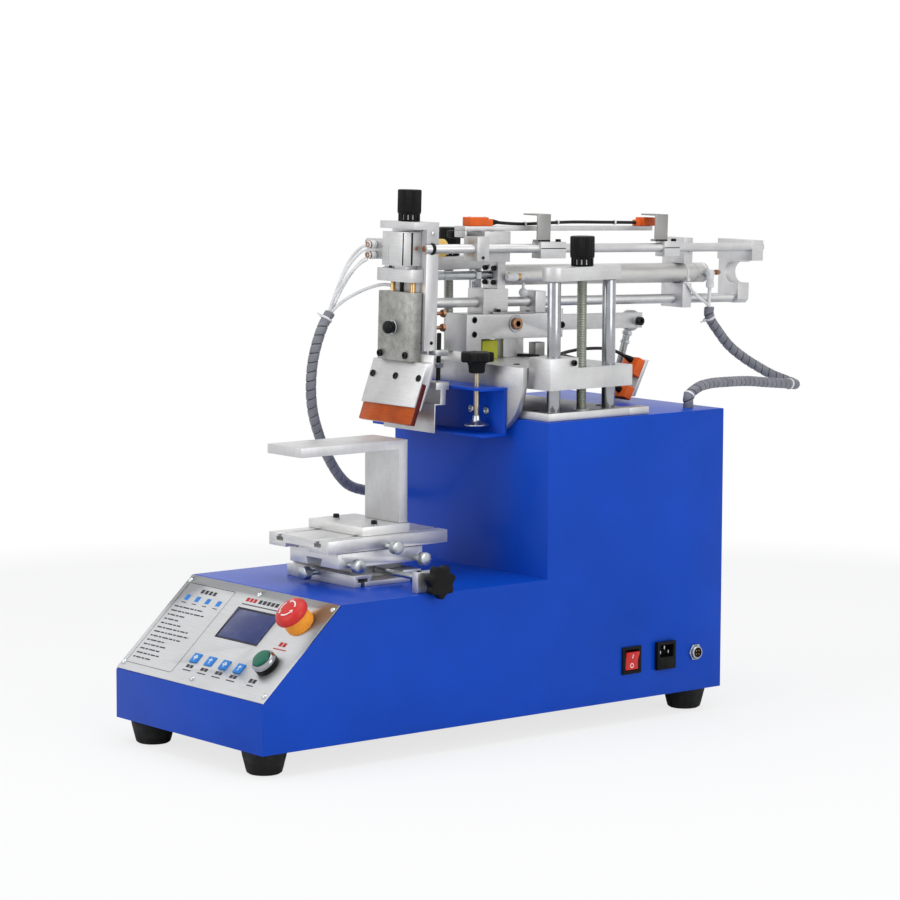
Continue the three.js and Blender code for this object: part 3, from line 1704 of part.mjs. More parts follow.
// Hoses: ribbed, with a bore, along a route that hand-chosen points give
function ribbedHose(points, name) {
  const route = new THREE.CatmullRomCurve3(points, false, "centripetal");
  const length = route.getLength();
  const straight = 2 * hoseRadius;
  const ribs = Math.floor((length - 2 * straight) / ribPitch);
  const first = (length - ribs * ribPitch) / 2;
  const outer = [[0, hoseValleyRadius]];
  for (let i = 0; i < ribs; i += 1) {
    outer.push([first + i * ribPitch, hoseValleyRadius]);
    outer.push([first + (i + 0.5) * ribPitch, hoseRadius]);
  }
  outer.push([first + ribs * ribPitch, hoseValleyRadius]);
  outer.push([length, hoseValleyRadius]);
  const inner = [[0, hoseBoreRadius]];
  for (let i = 0; i <= ribs; i += ribsPerBoreRing) {
    inner.push([first + i * ribPitch, hoseBoreRadius]);
  }
  inner.push([length, hoseBoreRadius]);
  const frames = route.computeFrenetFrames(hoseSteps, false);
  const rings = [...outer, ...inner.reverse()];
  const positions = [];
  for (const [at, radius] of rings) {
    const u = Math.min(1, Math.max(0, at / length));
    const centre = route.getPointAt(u);
    const k = Math.round(u * hoseSteps);
    for (let s = 0; s < hoseSides; s += 1) {
      const angle = (s / hoseSides) * 2 * Math.PI;
      const offset = frames.normals[k].clone().multiplyScalar(radius * Math.cos(angle));
      offset.addScaledVector(frames.binormals[k], radius * Math.sin(angle));
      positions.push(centre.x + offset.x, centre.y + offset.y, centre.z + offset.z);
    }
  }
  const indices = [];
  for (let r = 0; r < rings.length; r += 1) {
    const next = (r + 1) % rings.length;
    for (let s = 0; s < hoseSides; s += 1) {
      const a = r * hoseSides + s;
      const b = r * hoseSides + ((s + 1) % hoseSides);
      const c = next * hoseSides + s;
      const d = next * hoseSides + ((s + 1) % hoseSides);
      indices.push(a, b, c, b, d, c);
    }
  }
  const geometry = new THREE.BufferGeometry();
  geometry.setAttribute("position", new THREE.Float32BufferAttribute(positions, 3));
  geometry.setIndex(indices);
  const hose = new THREE.Mesh(geometry, greyPlastic);
  hose.name = name;
  body.add(hose);
  const gap = leastGap(route).toFixed(1);
  console.log(`${name}: ${ribs} ribs, ${length.toFixed(0)} mm long, ${gap} mm clear of itself`);
}

function leastGap(route) {
  const samples = route.getSpacedPoints(gapSamples);
  const spacing = route.getLength() / gapSamples;
  const apart = Math.ceil((6 * hoseRadius) / spacing);
  let least = Infinity;
  for (let i = 0; i < samples.length; i += 1) {
    for (let j = i + apart; j < samples.length; j += 1) {
      least = Math.min(least, samples[i].distanceTo(samples[j]) - 2 * hoseRadius);
    }
  }
  return least;
}

const [elbowOutY, elbowOutZ] = inMachine(elbowY, elbowBottomZ);
const rearHoseTopZ = elbowOutZ - seatGap - 0.5;
const rearHoseEndZ = towerTopZ + seatGap;
ribbedHose(
  [
    [elbowX, elbowOutY, rearHoseTopZ],
    [elbowX, elbowOutY + 0.5, rearHoseTopZ - 12],
    [-6, 828, 449],
    [-3, 845, 430],
    [2, 866, 414],
    [8, 885, 402],
    [16, 904, 391],
    [27, 921, 383],
    [41, 920, 380],
    [51, 894, 383],
    [62, 848, 388],
    [74, 805, 393],
    [88, 755, 396],
    [100, 712, 397],
    [108, 685, 394],
    [rearHoseEndX, rearHoseEndY, rearHoseEndZ + 13],
    [rearHoseEndX, rearHoseEndY, rearHoseEndZ],
  ].map((p) => new THREE.Vector3(...p)),
  "rear_hose",
);

const frontHoseEndX = -cabinetHalf - seatGap;
ribbedHose(
  [
    [-112, 287.7, 490.8],
    [-113, 276.5, 472.8],
    [-115, 265.4, 438],
    [-118, 263.7, 404.6],
    [-122, 269.2, 372.8],
    [-128, 284, 340],
    [-134, 301.6, 313.1],
    [-140, 321.8, 289.9],
    [-146, 342.3, 274.9],
    [-153, 372.9, 265.4],
    [-162, 405, 262],
    [-170, 430, 262],
    [frontHoseEndX - 23.7, frontHoseEndY - 11, frontHoseEndZ],
    [frontHoseEndX - 13, frontHoseEndY, frontHoseEndZ],
    [frontHoseEndX, frontHoseEndY, frontHoseEndZ],
  ].map((p) => new THREE.Vector3(...p)),
  "front_hose",
);

// The origin goes under the middle of the machine, hoses left out
machine.updateMatrixWorld(true);
const reach = new THREE.Box3();
machine.traverse((node) => {
  if (node.isMesh && !node.name.endsWith("hose")) {
    reach.expandByObject(node, true);
  }
});
const middle = reach.getCenter(new THREE.Vector3());
body.position.set(-middle.x, -middle.y, 0);
console.log(`middle at X ${middle.x.toFixed(3)}, Y ${middle.y.toFixed(3)}`);

export default machine;
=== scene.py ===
import json
import math

import bmesh
import bpy
from mathutils import Matrix, Vector


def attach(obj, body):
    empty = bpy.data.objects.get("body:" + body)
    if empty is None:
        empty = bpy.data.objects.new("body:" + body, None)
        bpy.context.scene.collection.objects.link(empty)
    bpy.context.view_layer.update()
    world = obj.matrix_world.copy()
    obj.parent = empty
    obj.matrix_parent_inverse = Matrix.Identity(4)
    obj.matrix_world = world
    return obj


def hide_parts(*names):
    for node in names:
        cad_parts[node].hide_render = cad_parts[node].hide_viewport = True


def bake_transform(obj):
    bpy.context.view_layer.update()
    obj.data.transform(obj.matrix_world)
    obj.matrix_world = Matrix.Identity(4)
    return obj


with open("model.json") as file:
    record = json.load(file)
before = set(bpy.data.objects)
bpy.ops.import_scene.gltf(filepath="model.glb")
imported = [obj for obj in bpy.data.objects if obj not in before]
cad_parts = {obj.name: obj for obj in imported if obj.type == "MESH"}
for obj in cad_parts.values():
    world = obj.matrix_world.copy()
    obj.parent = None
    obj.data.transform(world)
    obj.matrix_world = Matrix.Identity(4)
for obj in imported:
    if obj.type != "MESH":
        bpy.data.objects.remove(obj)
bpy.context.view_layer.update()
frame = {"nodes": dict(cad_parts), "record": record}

alongX, alongY, alongZ = (1, 0, 0), (0, 1, 0), (0, 0, 1)
againstX, againstY, againstZ = (-1, 0, 0), (0, -1, 0), (0, 0, -1)
sides = (-1, 1)
nodes = frame["nodes"]
behaviour = frame["record"]["behaviour"]
bodyOf = {node: body for body, members in behaviour["bodies"].items() for node in members}
scene = bpy.context.scene

# The model's own drawing is in millimetres, from the cabinet's front edge and middle.
# The spaces below turn it into the row frame.
drawing = {
    "middle": (7.5, 446.278),
    "pivot": (490.6, 474.9),
    "unitTilt": -1.6,
    "slopeFoot": 84.8,
    "slopeRise": 101.7,
    "slopeRun": 110.9,
    "unitX": -27.0,
    "linkRing": (695.6, 474.0),
    "actuatorLean": -18.0,
}


def turned(degrees, axis):
    return Matrix.Rotation(math.radians(degrees), 4, axis)


still = Matrix.Identity(4)
metres = Matrix.Scale(0.001, 4)
machineSpace = metres @ Matrix.Translation((-drawing["middle"][0], -drawing["middle"][1], 0))
pivotAt = Vector((0, *drawing["pivot"]))
unitTurn = Matrix.Translation(pivotAt) @ turned(drawing["unitTilt"], "X") @ Matrix.Translation(-pivotAt)
unitSpace = machineSpace @ unitTurn
slopeAngle = math.degrees(math.atan2(drawing["slopeRise"], drawing["slopeRun"]))
slopeSpace = machineSpace @ Matrix.Translation((0, 0, drawing["slopeFoot"])) @ turned(slopeAngle, "X")
ringAt = unitTurn @ Vector((drawing["unitX"], *drawing["linkRing"]))
actuatorSpace = machineSpace @ Matrix.Translation(ringAt) @ turned(drawing["actuatorLean"], "X")


# Camera, at the photograph's viewing angle
cameraSetup = {
    "place": (3.15157, -2.629238, 0.80288),
    "azimuth": 50.915,
    "elevation": 6.646,
    "roll": 0.225,
    "lens": 136.944,
    "sensor": 36.0,
    "nearest": 0.1,
    "farthest": 60,
}


def placeCamera(setup):
    azimuth, elevation, roll = (math.radians(setup[k]) for k in ("azimuth", "elevation", "roll"))
    reach = math.cos(elevation)
    back = Vector((math.sin(azimuth) * reach, -math.cos(azimuth) * reach, math.sin(elevation)))
    level = Vector((math.cos(azimuth), math.sin(azimuth), 0))
    upright = back.cross(level)
    right = level * math.cos(roll) + upright * math.sin(roll)
    up = upright * math.cos(roll) - level * math.sin(roll)
    lens = bpy.data.cameras.new("photo_camera")
    lens.lens = setup["lens"]
    lens.sensor_width = setup["sensor"]
    lens.clip_start = setup["nearest"]
    lens.clip_end = setup["farthest"]
    camera = bpy.data.objects.new("photo_camera", lens)
    scene.collection.objects.link(camera)
    turn = Matrix((right, up, back)).transposed().to_4x4()
    camera.matrix_world = Matrix.Translation(setup["place"]) @ turn
    scene.camera = camera


placeCamera(cameraSetup)
scene.view_settings.view_transform = "Standard"
print("camera placed")


# Finishes. Every pattern reads Object coordinates, in metres.
def addNode(tree, kind, inputs=None, **settings):
    node = tree.nodes.new("ShaderNode" + kind)
    for setting, value in settings.items():
        setattr(node, setting, value)
    for socket, value in (inputs or {}).items():
        node.inputs[socket].default_value = value
    return node


def startFinish(name, metallic, coat=0.0, coatRoughness=0.1, shine=0.5):
    finish = bpy.data.materials.new(name)
    finish.use_nodes = True
    shader = finish.node_tree.nodes["Principled BSDF"]
    shader.inputs["Metallic"].default_value = metallic
    shader.inputs["Coat Weight"].default_value = coat
    shader.inputs["Coat Roughness"].default_value = coatRoughness
    shader.inputs["Specular IOR Level"].default_value = shine
    return finish, finish.node_tree, shader


def noisePattern(tree, scale, detail=3.0, roughness=0.55, stretch=(1, 1, 1)):
    place = addNode(tree, "TexCoord")
    mapping = addNode(tree, "Mapping", {"Scale": stretch})
    noise = addNode(tree, "TexNoise", {"Scale": scale, "Detail": detail, "Roughness": roughness})
    tree.links.new(place.outputs["Object"], mapping.inputs["Vector"])
    tree.links.new(mapping.outputs["Vector"], noise.inputs["Vector"])
    return noise.outputs["Fac"]


def grainAlong(axis, slow, fast):
    return tuple(slow if each == axis else fast for each in "xyz")


def ranged(tree, value, low, high, fromLow=0.3, fromHigh=0.7):
    limits = {"From Min": fromLow, "From Max": fromHigh, "To Min": low, "To Max": high}
    spread = addNode(tree, "MapRange", limits)
    tree.links.new(value, spread.inputs["Value"])
    return spread.outputs["Result"]


def toneOver(tree, share, under, over):
    # what lies under is a colour, or the result of another blend
    mixer = addNode(tree, "Mix", {"B": (*over, 1)}, data_type="RGBA")
    if isinstance(under, tuple):
        mixer.inputs["A"].default_value = (*under, 1)
    else:
        tree.links.new(under, mixer.inputs["A"])
    tree.links.new(share, mixer.inputs["Factor"])
    return mixer.outputs["Result"]


def setSurface(tree, shader, colour, roughness, bumps, strength, distance):
    bump = addNode(tree, "Bump", {"Strength": strength, "Distance": distance})
    tree.links.new(bumps, bump.inputs["Height"])
    tree.links.new(colour, shader.inputs["Base Color"])
    tree.links.new(roughness, shader.inputs["Roughness"])
    tree.links.new(bump.outputs["Normal"], shader.inputs["Normal"])


def mixed(tone, other, share):
    return tuple(a + (b - a) * share for a, b in zip(tone, other))


def shaded(tone, factor):
    return tuple(min(1.0, c * factor) for c in tone)


def milledFinish(name, tone, roughness, lines, spread=0.16, clouds=22.0, wear=0.25):
    # fine cutter lines along one axis, soft clouds of handling marks, and small dull specks
    finish, tree, shader = startFinish(name, 0.85)
    fine = noisePattern(tree, 1.0, 2.0, stretch=grainAlong(lines, 30, 900))
    cloud = noisePattern(tree, clouds, 5.0, 0.6)
    speck = noisePattern(tree, 260.0, 2.0)
    pale, dark = shaded(tone, 1 + spread * 0.4), shaded(tone, 1 - spread)
    colour = toneOver(tree, ranged(tree, cloud, 0, 1), dark, pale)
    colour = toneOver(tree, ranged(tree, fine, 0.0, 0.35, 0.42, 0.75), colour, shaded(tone, 0.72))
    colour = toneOver(tree, ranged(tree, speck, 0.0, wear, 0.62, 0.8), colour, shaded(tone, 0.45))
    dull = ranged(tree, cloud, roughness + 0.08, roughness - 0.06)
    setSurface(tree, shader, colour, dull, fine, 0.16, 0.00012)
    return finish


def mottledFinish(name, tone, other, roughness):
    finish, tree, shader = startFinish(name, 0.9)
    patches = noisePattern(tree, 90.0, 8.0, 0.68)
    large = noisePattern(tree, 24.0, 3.0)
    colour = toneOver(tree, ranged(tree, patches, 0, 1, 0.36, 0.66), tone, other)
    colour = toneOver(tree, ranged(tree, large, 0.0, 0.45, 0.45, 0.7), colour, shaded(tone, 0.72))
    dull = ranged(tree, patches, roughness + 0.1, roughness - 0.08)
    setSurface(tree, shader, colour, dull, patches, 0.12, 0.0002)
    return finish


def shinyFinish(name, tone, roughness, scratches=None, spread=0.07):
    # scratches run along one axis, or every way
    finish, tree, shader = startFinish(name, 1.0)
    stretch = grainAlong(scratches, 12, 700) if scratches else (60, 60, 60)
    fine = noisePattern(tree, 1.0, 3.0, stretch=stretch)
    smear = noisePattern(tree, 40.0, 4.0)
    pale, dark = shaded(tone, 1 + spread * 0.5), shaded(tone, 1 - spread)
    colour = toneOver(tree, ranged(tree, smear, 0, 1), dark, pale)
    setSurface(tree, shader, colour, ranged(tree, fine, roughness, roughness + 0.07), fine, 0.03,
        0.00006)
    return finish


def paintFinish(name, tone, roughness, coat):
    # a sprayed coat: slight orange peel, faint dust and a clear gloss
    finish, tree, shader = startFinish(name, 0.0, coat, 0.12, 0.12)
    cloud = noisePattern(tree, 7.0, 4.0)
    dust = noisePattern(tree, 420.0, 3.0)
    peel = noisePattern(tree, 620.0, 2.0)
    dusty = mixed(tone, (0.5, 0.6, 0.9), 0.5)
    colour = toneOver(tree, ranged(tree, cloud, 0, 1), shaded(tone, 0.9), shaded(tone, 1.1))
    colour = toneOver(tree, ranged(tree, dust, 0.0, 0.2, 0.68, 0.82), colour, dusty)
    dull = ranged(tree, cloud, roughness + 0.05, roughness - 0.03)
    setSurface(tree, shader, colour, dull, peel, 0.05, 0.0003)
    return finish


def mouldedFinish(name, tone, roughness, grain, bumpiness, coat=0.0, dust=0.0, shine=0.22):
    finish, tree, shader = startFinish(name, 0.0, coat, 0.15, shine)
    cloud = noisePattern(tree, 60.0, 4.0)
    texture = noisePattern(tree, grain, 2.0)
    dusty = mixed(tone, (0.6, 0.6, 0.6), 0.5)
    colour = toneOver(tree, ranged(tree, cloud, 0, 1), shaded(tone, 0.85), shaded(tone, 1.12))
    colour = toneOver(tree, ranged(tree, cloud, 0.0, dust, 0.5, 0.8), colour, dusty)
    dull = ranged(tree, cloud, roughness + 0.07, roughness - 0.05)
    setSurface(tree, shader, colour, dull, texture, bumpiness, 0.00015)
    return finish


def urethaneFinish(name, tone, deep):
    finish, tree, shader = startFinish(name, 0.0, 0.0, 0.08, 0.2)
    cloud = noisePattern(tree, 35.0, 3.0)
    fine = noisePattern(tree, 1.0, 2.0, stretch=grainAlong("x", 20, 600))
    shader.inputs["Subsurface Weight"].default_value = 0.1
    shader.inputs["Subsurface Radius"].default_value = (0.004, 0.0015, 0.0005)
    shader.inputs["Subsurface Scale"].default_value = 1.0
    colour = toneOver(tree, ranged(tree, cloud, 0, 1), deep, tone)
    setSurface(tree, shader, colour, ranged(tree, fine, 0.2, 0.34), fine, 0.04, 0.0001)
    return finish


# Each line gives the colour and the roughness first
blueCoat = paintFinish("blue_powder_coat", (0.002, 0.057, 0.455), 0.36, 0.07)
milledX = milledFinish("milled_aluminium_x", (0.62, 0.62, 0.625), 0.42, "x")
milledY = milledFinish("milled_aluminium_y", (0.6, 0.6, 0.605), 0.42, "y")
milledZ = milledFinish("milled_aluminium_z", (0.61, 0.61, 0.62), 0.42, "z")
# a brighter copy of the milled aluminium: painted light that lifts the shade on the table, saddle and
# fixture base
tableMetalPaintedLight = milledFinish("work_table_aluminium_painted_light", (0.72, 0.72, 0.715), 0.44, "x", 0.1)
apronMetal = milledFinish("apron_aluminium", (0.52, 0.52, 0.53), 0.4, "x", 0.3, 14.0)
# grey steel for the cross slide and small blocks, also used as painted shade on the top of the gantry
# base plate
greyMilledAndPaintedShade = milledFinish("grey_milled_steel_and_painted_shade", (0.34, 0.335, 0.33), 0.42, "x", 0.2)
barrelMetal = milledFinish("barrel_aluminium", (0.62, 0.615, 0.6), 0.42, "y", 0.08, 9.0, 0.1)
brushedPanel = milledFinish("brushed_panel", (0.64, 0.645, 0.66), 0.38, "x", 0.08, 12.0, 0.05)
mottledPlate = mottledFinish("mottled_plate", (0.27, 0.27, 0.25), (0.43, 0.43, 0.41), 0.45)
polishedUp = shinyFinish("polished_shaft_up", (0.35, 0.36, 0.385), 0.12, "z", 0.2)
polishedAlong = shinyFinish("polished_rod_along", (0.31, 0.315, 0.33), 0.1, "y", 0.22)
stemMetal = shinyFinish("worn_screw_stem", (0.46, 0.4, 0.31), 0.3, "z", 0.16)
zincMetal = shinyFinish("zinc_screw", (0.5, 0.53, 0.54), 0.26, spread=0.14)
threadMetal = shinyFinish("greenish_thread", (0.33, 0.345, 0.3), 0.3, spread=0.18)
brassMetal = shinyFinish("brass", (0.58, 0.37, 0.15), 0.28, spread=0.16)
copperMetal = shinyFinish("copper_screw", (0.36, 0.19, 0.11), 0.34, spread=0.2)
blackMoulding = mouldedFinish(
    "black_moulding", (0.004, 0.004, 0.0045), 0.42, 1500.0, 0.12, dust=0.015, shine=0.13,
)
# black oxide for screws, also used for the dark strips that are painted shade in the compact cylinder's
# grooves
blackOxideAndPaintedShade = mouldedFinish(
    "black_oxide_screw_and_painted_shade", (0.006, 0.006, 0.007), 0.32, 900.0, 0.08, dust=0.015, shine=0.16,
)
rubberFoot = mouldedFinish("rubber_foot", (0.009, 0.009, 0.009), 0.62, 1100.0, 0.2, dust=0.06)
cableBlack = mouldedFinish("black_cable", (0.01, 0.01, 0.011), 0.5, 700.0, 0.1, dust=0.04)
redMoulding = mouldedFinish("red_moulding", (0.6, 0.028, 0.024), 0.34, 1300.0, 0.05, 0.12)
amberMoulding = mouldedFinish("amber_moulding", (0.98, 0.36, 0.035), 0.38, 1300.0, 0.05, 0.08)
orangeMoulding = mouldedFinish("orange_sensor", (0.76, 0.12, 0.015), 0.4, 1300.0, 0.06, 0.05)
greenMoulding = mouldedFinish("green_button", (0.004, 0.13, 0.075), 0.28, 1300.0, 0.04, 0.15)
blueMoulding = mouldedFinish("blue_key", (0.016, 0.2, 0.62), 0.36, 1300.0, 0.05, 0.08)
yellowRubber = mouldedFinish("yellow_bumper", (0.72, 0.48, 0.12), 0.44, 700.0, 0.08, 0.05, 0.05)
limePlastic = mouldedFinish("lime_stop_block", (0.48, 0.5, 0.04), 0.46, 900.0, 0.08, dust=0.1)
whitePlastic = mouldedFinish("white_fitting", (0.7, 0.71, 0.72), 0.34, 1200.0, 0.04, 0.1, 0.02)
tubePlastic = mouldedFinish("white_air_tube", (0.74, 0.75, 0.76), 0.3, 900.0, 0.02, 0.05)
hoseGrey = mouldedFinish("grey_spiral_wrap", (0.2, 0.205, 0.235), 0.46, 900.0, 0.1, dust=0.12)
# near black: painted shade in the slot of the spiral wrap
hoseSlotPaintedShade = mouldedFinish("wrap_slot_painted_shade", (0.02, 0.02, 0.022), 0.6, 900.0, 0.05)
screenGlass = mouldedFinish("display_glass", (0.03, 0.045, 0.17), 0.16, 500.0, 0.01, 0.12, 0.2)
printInk = mouldedFinish("printed_mark", (0.04, 0.04, 0.05), 0.5, 800.0, 0.02)
redInk = mouldedFinish("printed_red_mark", (0.5, 0.03, 0.03), 0.5, 800.0, 0.02)
whiteInk = mouldedFinish("printed_white_mark", (0.8, 0.8, 0.8), 0.45, 800.0, 0.02)
bladeOrange = urethaneFinish("orange_urethane", (0.52, 0.095, 0.008), (0.34, 0.05, 0.005))
# a much darker copy of the urethane for the blade's end faces: painted shade
bladeEndPaintedShade = urethaneFinish("urethane_end_painted_shade", (0.11, 0.008, 0.007), (0.06, 0.006, 0.006))
print("finishes made")


# Ways of making pieces, in millimetres of the drawing
def mergeInto(bm, part):
    carrier = bpy.data.meshes.new("part_being_joined")
    part.to_mesh(carrier)
    part.free()
    bm.from_mesh(carrier)
    bpy.data.meshes.remove(carrier)


def joinTo(bm, part, finish):
    for face in part.faces:
        face.material_index = finish
    mergeInto(bm, part)


def placePart(bm, part, at, along, finish):
    # a part made on the z axis, put at a point and turned to a direction
    turn = Vector(alongZ).rotation_difference(Vector(along)).to_matrix().to_4x4()
    bmesh.ops.recalc_face_normals(part, faces=part.faces)
    part.transform(Matrix.Translation(at) @ turn)
    joinTo(bm, part, finish)


def sharpEdges(part, degrees):
    limit = math.radians(degrees)
    return [e for e in part.edges if len(e.link_faces) == 2 and e.calc_face_angle(0) > limit]


def openEdges(part):
    return [e for e in part.edges if len(e.link_faces) == 1]


def vertsOf(result):
    return [item for item in result["geom"] if isinstance(item, bmesh.types.BMVert)]


def roundEdges(part, edges, width, segments=2):
    if width > 0 and edges:
        bmesh.ops.bevel(
            part, geom=edges, offset=width, offset_type="OFFSET", segments=segments,
            profile=0.5, affect="EDGES", clamp_overlap=True, material=-1,
        )


def addBox(bm, middle, size, finish=0, edge=0.5, segments=2, turn=still):
    part = bmesh.new()
    bmesh.ops.create_cube(part, size=1, matrix=Matrix.Diagonal((*size, 1)))
    roundEdges(part, list(part.edges), min(edge, *(length / 3 for length in size)), segments)
    part.transform(Matrix.Translation(middle) @ turn)
    joinTo(bm, part, finish)


def addBlock(bm, x0, x1, y0, y1, z0, z1, finish=0, edge=0.5, segments=2, turn=still):
    middle = ((x0 + x1) / 2, (y0 + y1) / 2, (z0 + z1) / 2)
    addBox(bm, middle, (x1 - x0, y1 - y0, z1 - z0), finish, edge, segments, turn)


def profileLine(part, profile):
    # a line of (distance along the axis, radius) pairs, as geometry to spin
    verts = [part.verts.new((radius, 0, far)) for far, radius in profile]
    return verts + [part.edges.new(pair) for pair in zip(verts, verts[1:])]


def spinRound(part, geometry, steps, angle=math.tau, rise=0.0, merged=False):
    bmesh.ops.spin(
        part, geom=geometry, cent=(0, 0, 0), axis=alongZ, dvec=(0, 0, rise), angle=angle, steps=steps,
        use_merge=merged, use_normal_flip=False, use_duplicate=False,
    )
    bmesh.ops.remove_doubles(part, verts=part.verts, dist=0.002 if rise else 0.0002)


def addTurned(bm, at, along, profile, finish=0, steps=48):
    # the profile runs from the axis out and back to it, or round a closed section
    part = bmesh.new()
    spinRound(part, profileLine(part, profile), steps, merged=True)
    placePart(bm, part, at, along, finish)


def addRound(bm, at, along, radius, length, finish=0, edge=0.4, steps=48):
    edge = min(edge, radius / 3, length / 3)
    near = [(0, 0), (0, radius - edge), (edge * 0.3, radius - edge * 0.3), (edge, radius)]
    addTurned(bm, at, along, near + [(length - far, reach) for far, reach in reversed(near)],
        finish, steps)


def addRing(bm, at, along, outer, inner, length, finish=0, edge=0.4, steps=48):
    edge = min(edge, (outer - inner) / 3, length / 3)
    near = [(edge, inner), (0, inner + edge), (0, outer - edge), (edge, outer)]
    far = [(length - depth, reach) for depth, reach in reversed(near)]
    addTurned(bm, at, along, near + far + near[:1], finish, steps)


def drawOut(part, corners, step):
    face = part.faces.new([part.verts.new(corner) for corner in corners])
    grown = bmesh.ops.extrude_face_region(part, geom=[face], use_keep_orig=True)
    bmesh.ops.translate(part, vec=step, verts=vertsOf(grown))
    bmesh.ops.recalc_face_normals(part, faces=part.faces)


def addOutline(bm, corners, step, finish, edge):
    part = bmesh.new()
    drawOut(part, corners, step)
    roundEdges(part, sharpEdges(part, 28), edge)
    joinTo(bm, part, finish)


def addHex(bm, at, along, radius, length, finish=0, edge=0.4):
    part = bmesh.new()
    bmesh.ops.create_cone(
        part, cap_ends=True, segments=6, radius1=radius, radius2=radius, depth=length,
        matrix=Matrix.Translation((0, 0, length / 2)),
    )
    rims = [e for e in part.edges if abs(e.verts[0].co.z - e.verts[1].co.z) < 0.01]
    roundEdges(part, rims, edge)
    placePart(bm, part, at, along, finish)


def addCapScrew(bm, at, along, radius, height, finish=0, steps=24):
    # a socket head: chamfered rim, and a six-sided socket
    part = bmesh.new()
    crown = [(height * 0.85, radius), (height, radius * 0.86), (height, radius * 0.62)]
    spinRound(part, profileLine(part, [(0, 0), (0, radius), *crown]), steps, merged=True)
    rim = openEdges(part)
    bmesh.ops.create_circle(
        part, cap_ends=False, segments=6, radius=radius * 0.56,
        matrix=Matrix.Translation((0, 0, height)),
    )
    six = [e for e in part.edges if not e.link_faces]
    bmesh.ops.bridge_loops(part, edges=rim + six)
    walls = bmesh.ops.extrude_edge_only(part, edges=six)
    bmesh.ops.translate(part, vec=(0, 0, -height * 0.55), verts=vertsOf(walls))
    bmesh.ops.holes_fill(part, edges=openEdges(part), sides=6)
    placePart(bm, part, at, along, finish)


def cutAcross(part, height, side=0):
    # a flat cut across the z axis. With a side given, what lies past the cut on it goes.
    bmesh.ops.bisect_plane(
        part, geom=list(part.verts) + list(part.edges) + list(part.faces), dist=0.0001,
        plane_co=(0, 0, height), plane_no=(0, 0, side or 1), clear_outer=side != 0,
    )


def windUp(part, profile, pitch, stepsPerTurn, near, far):
    # a profile spun up its helix, cut flat at both distances and closed there
    turns = int(far / pitch) + 3
    line = profileLine(part, [(up - pitch, reach) for up, reach in profile])
    spinRound(part, line, stepsPerTurn * turns, math.tau * turns, pitch / stepsPerTurn)
    cutAcross(part, near, -1)
    cutAcross(part, far, 1)
    bmesh.ops.holes_fill(part, edges=openEdges(part), sides=0)


def addThread(bm, at, along, radius, depth, pitch, length, finish=0, stepsPerTurn=16):
    part = bmesh.new()
    root = radius - depth
    ridge = [(0, root), (pitch * 0.42, radius), (pitch * 0.58, radius), (pitch, root)]
    windUp(part, ridge, pitch, stepsPerTurn, 0, length)
    placePart(bm, part, at, along, finish)


def addLobed(bm, at, along, radius, lobes, dip, length, finish=0, edge=1.2, steps=10):
    # a knob's outline: round lobes with hollows between
    corners = []
    for i in range(lobes * steps):
        angle = math.tau * i / (lobes * steps)
        reach = radius - dip * (0.5 - 0.5 * math.cos(lobes * angle))
        corners.append((reach * math.cos(angle), reach * math.sin(angle), 0))
    part = bmesh.new()
    drawOut(part, corners, (0, 0, length))
    roundEdges(part, sharpEdges(part, 60), edge, 3)
    placePart(bm, part, at, along, finish)


def ringOf(count, radius, offset=0.0):
    # angles spread round a circle, each with its two coordinates
    for i in range(count):
        angle = math.tau * (i + offset) / count
        yield angle, radius * math.cos(angle), radius * math.sin(angle)


def alongCurve(points, step=1.0):
    # a centripetal Catmull-Rom line through the points, as even samples
    points = [Vector(p) for p in points]
    ends = [points[0] * 2 - points[1], *points, points[-1] * 2 - points[-2]]
    fine, parts = [], 24
    for a, b, c, d in zip(ends, ends[1:], ends[2:], ends[3:]):
        ta = 0.0
        tb = ta + math.sqrt((b - a).length)
        tc = tb + math.sqrt((c - b).length)
        td = tc + math.sqrt((d - c).length)
        for i in range(parts):
            t = tb + (tc - tb) * i / parts
            ab = a.lerp(b, (t - ta) / (tb - ta))
            bc = b.lerp(c, (t - tb) / (tc - tb))
            cd = c.lerp(d, (t - tc) / (td - tc))
            before, after = ab.lerp(bc, (t - ta) / (tc - ta)), bc.lerp(cd, (t - tb) / (td - tb))
            fine.append(before.lerp(after, (t - tb) / (tc - tb)))
    fine.append(points[-1].copy())
    line, gone, wanted = [fine[0]], 0.0, step
    for a, b in zip(fine, fine[1:]):
        span = (b - a).length
        while gone + span >= wanted:
            line.append(a.lerp(b, (wanted - gone) / span))
            wanted += step
        gone += span
    if (line[-1] - fine[-1]).length > step * 0.3:
        line.append(fine[-1])
    return line


def bendAlong(part, line, step=1.0):
    # bends a straight piece that stands on the z axis to the line
    directions = [(b - a).normalized() for a, b in zip(line, line[1:])]
    directions.append(directions[-1].copy())
    side = directions[0].orthogonal().normalized()
    acrosses = [side]
    for before, after in zip(directions, directions[1:]):
        side = before.rotation_difference(after) @ side
        side = (side - after * side.dot(after)).normalized()
        acrosses.append(side)
    for vert in part.verts:
        where = min(max(vert.co.z / step, 0.0), len(line) - 1.0)
        k = min(int(where), len(line) - 2)
        share = where - k
        middle = line[k].lerp(line[k + 1], share)
        direction = directions[k].lerp(directions[k + 1], share).normalized()
        across = acrosses[k].lerp(acrosses[k + 1], share)
        across = (across - direction * across.dot(direction)).normalized()
        vert.co = middle + across * vert.co.x + direction.cross(across) * vert.co.y


def addTube(bm, points, radius, finish=0, segments=12, step=1.5):
    line = alongCurve(points, step)
    rings = len(line) - 1
    part = bmesh.new()
    bmesh.ops.create_cone(
        part, cap_ends=True, segments=segments, radius1=radius, radius2=radius, depth=rings * step,
        matrix=Matrix.Translation((0, 0, rings * step / 2)),
    )
    for k in range(1, rings):
        cutAcross(part, k * step)
    bendAlong(part, line, step)
    joinTo(bm, part, finish)


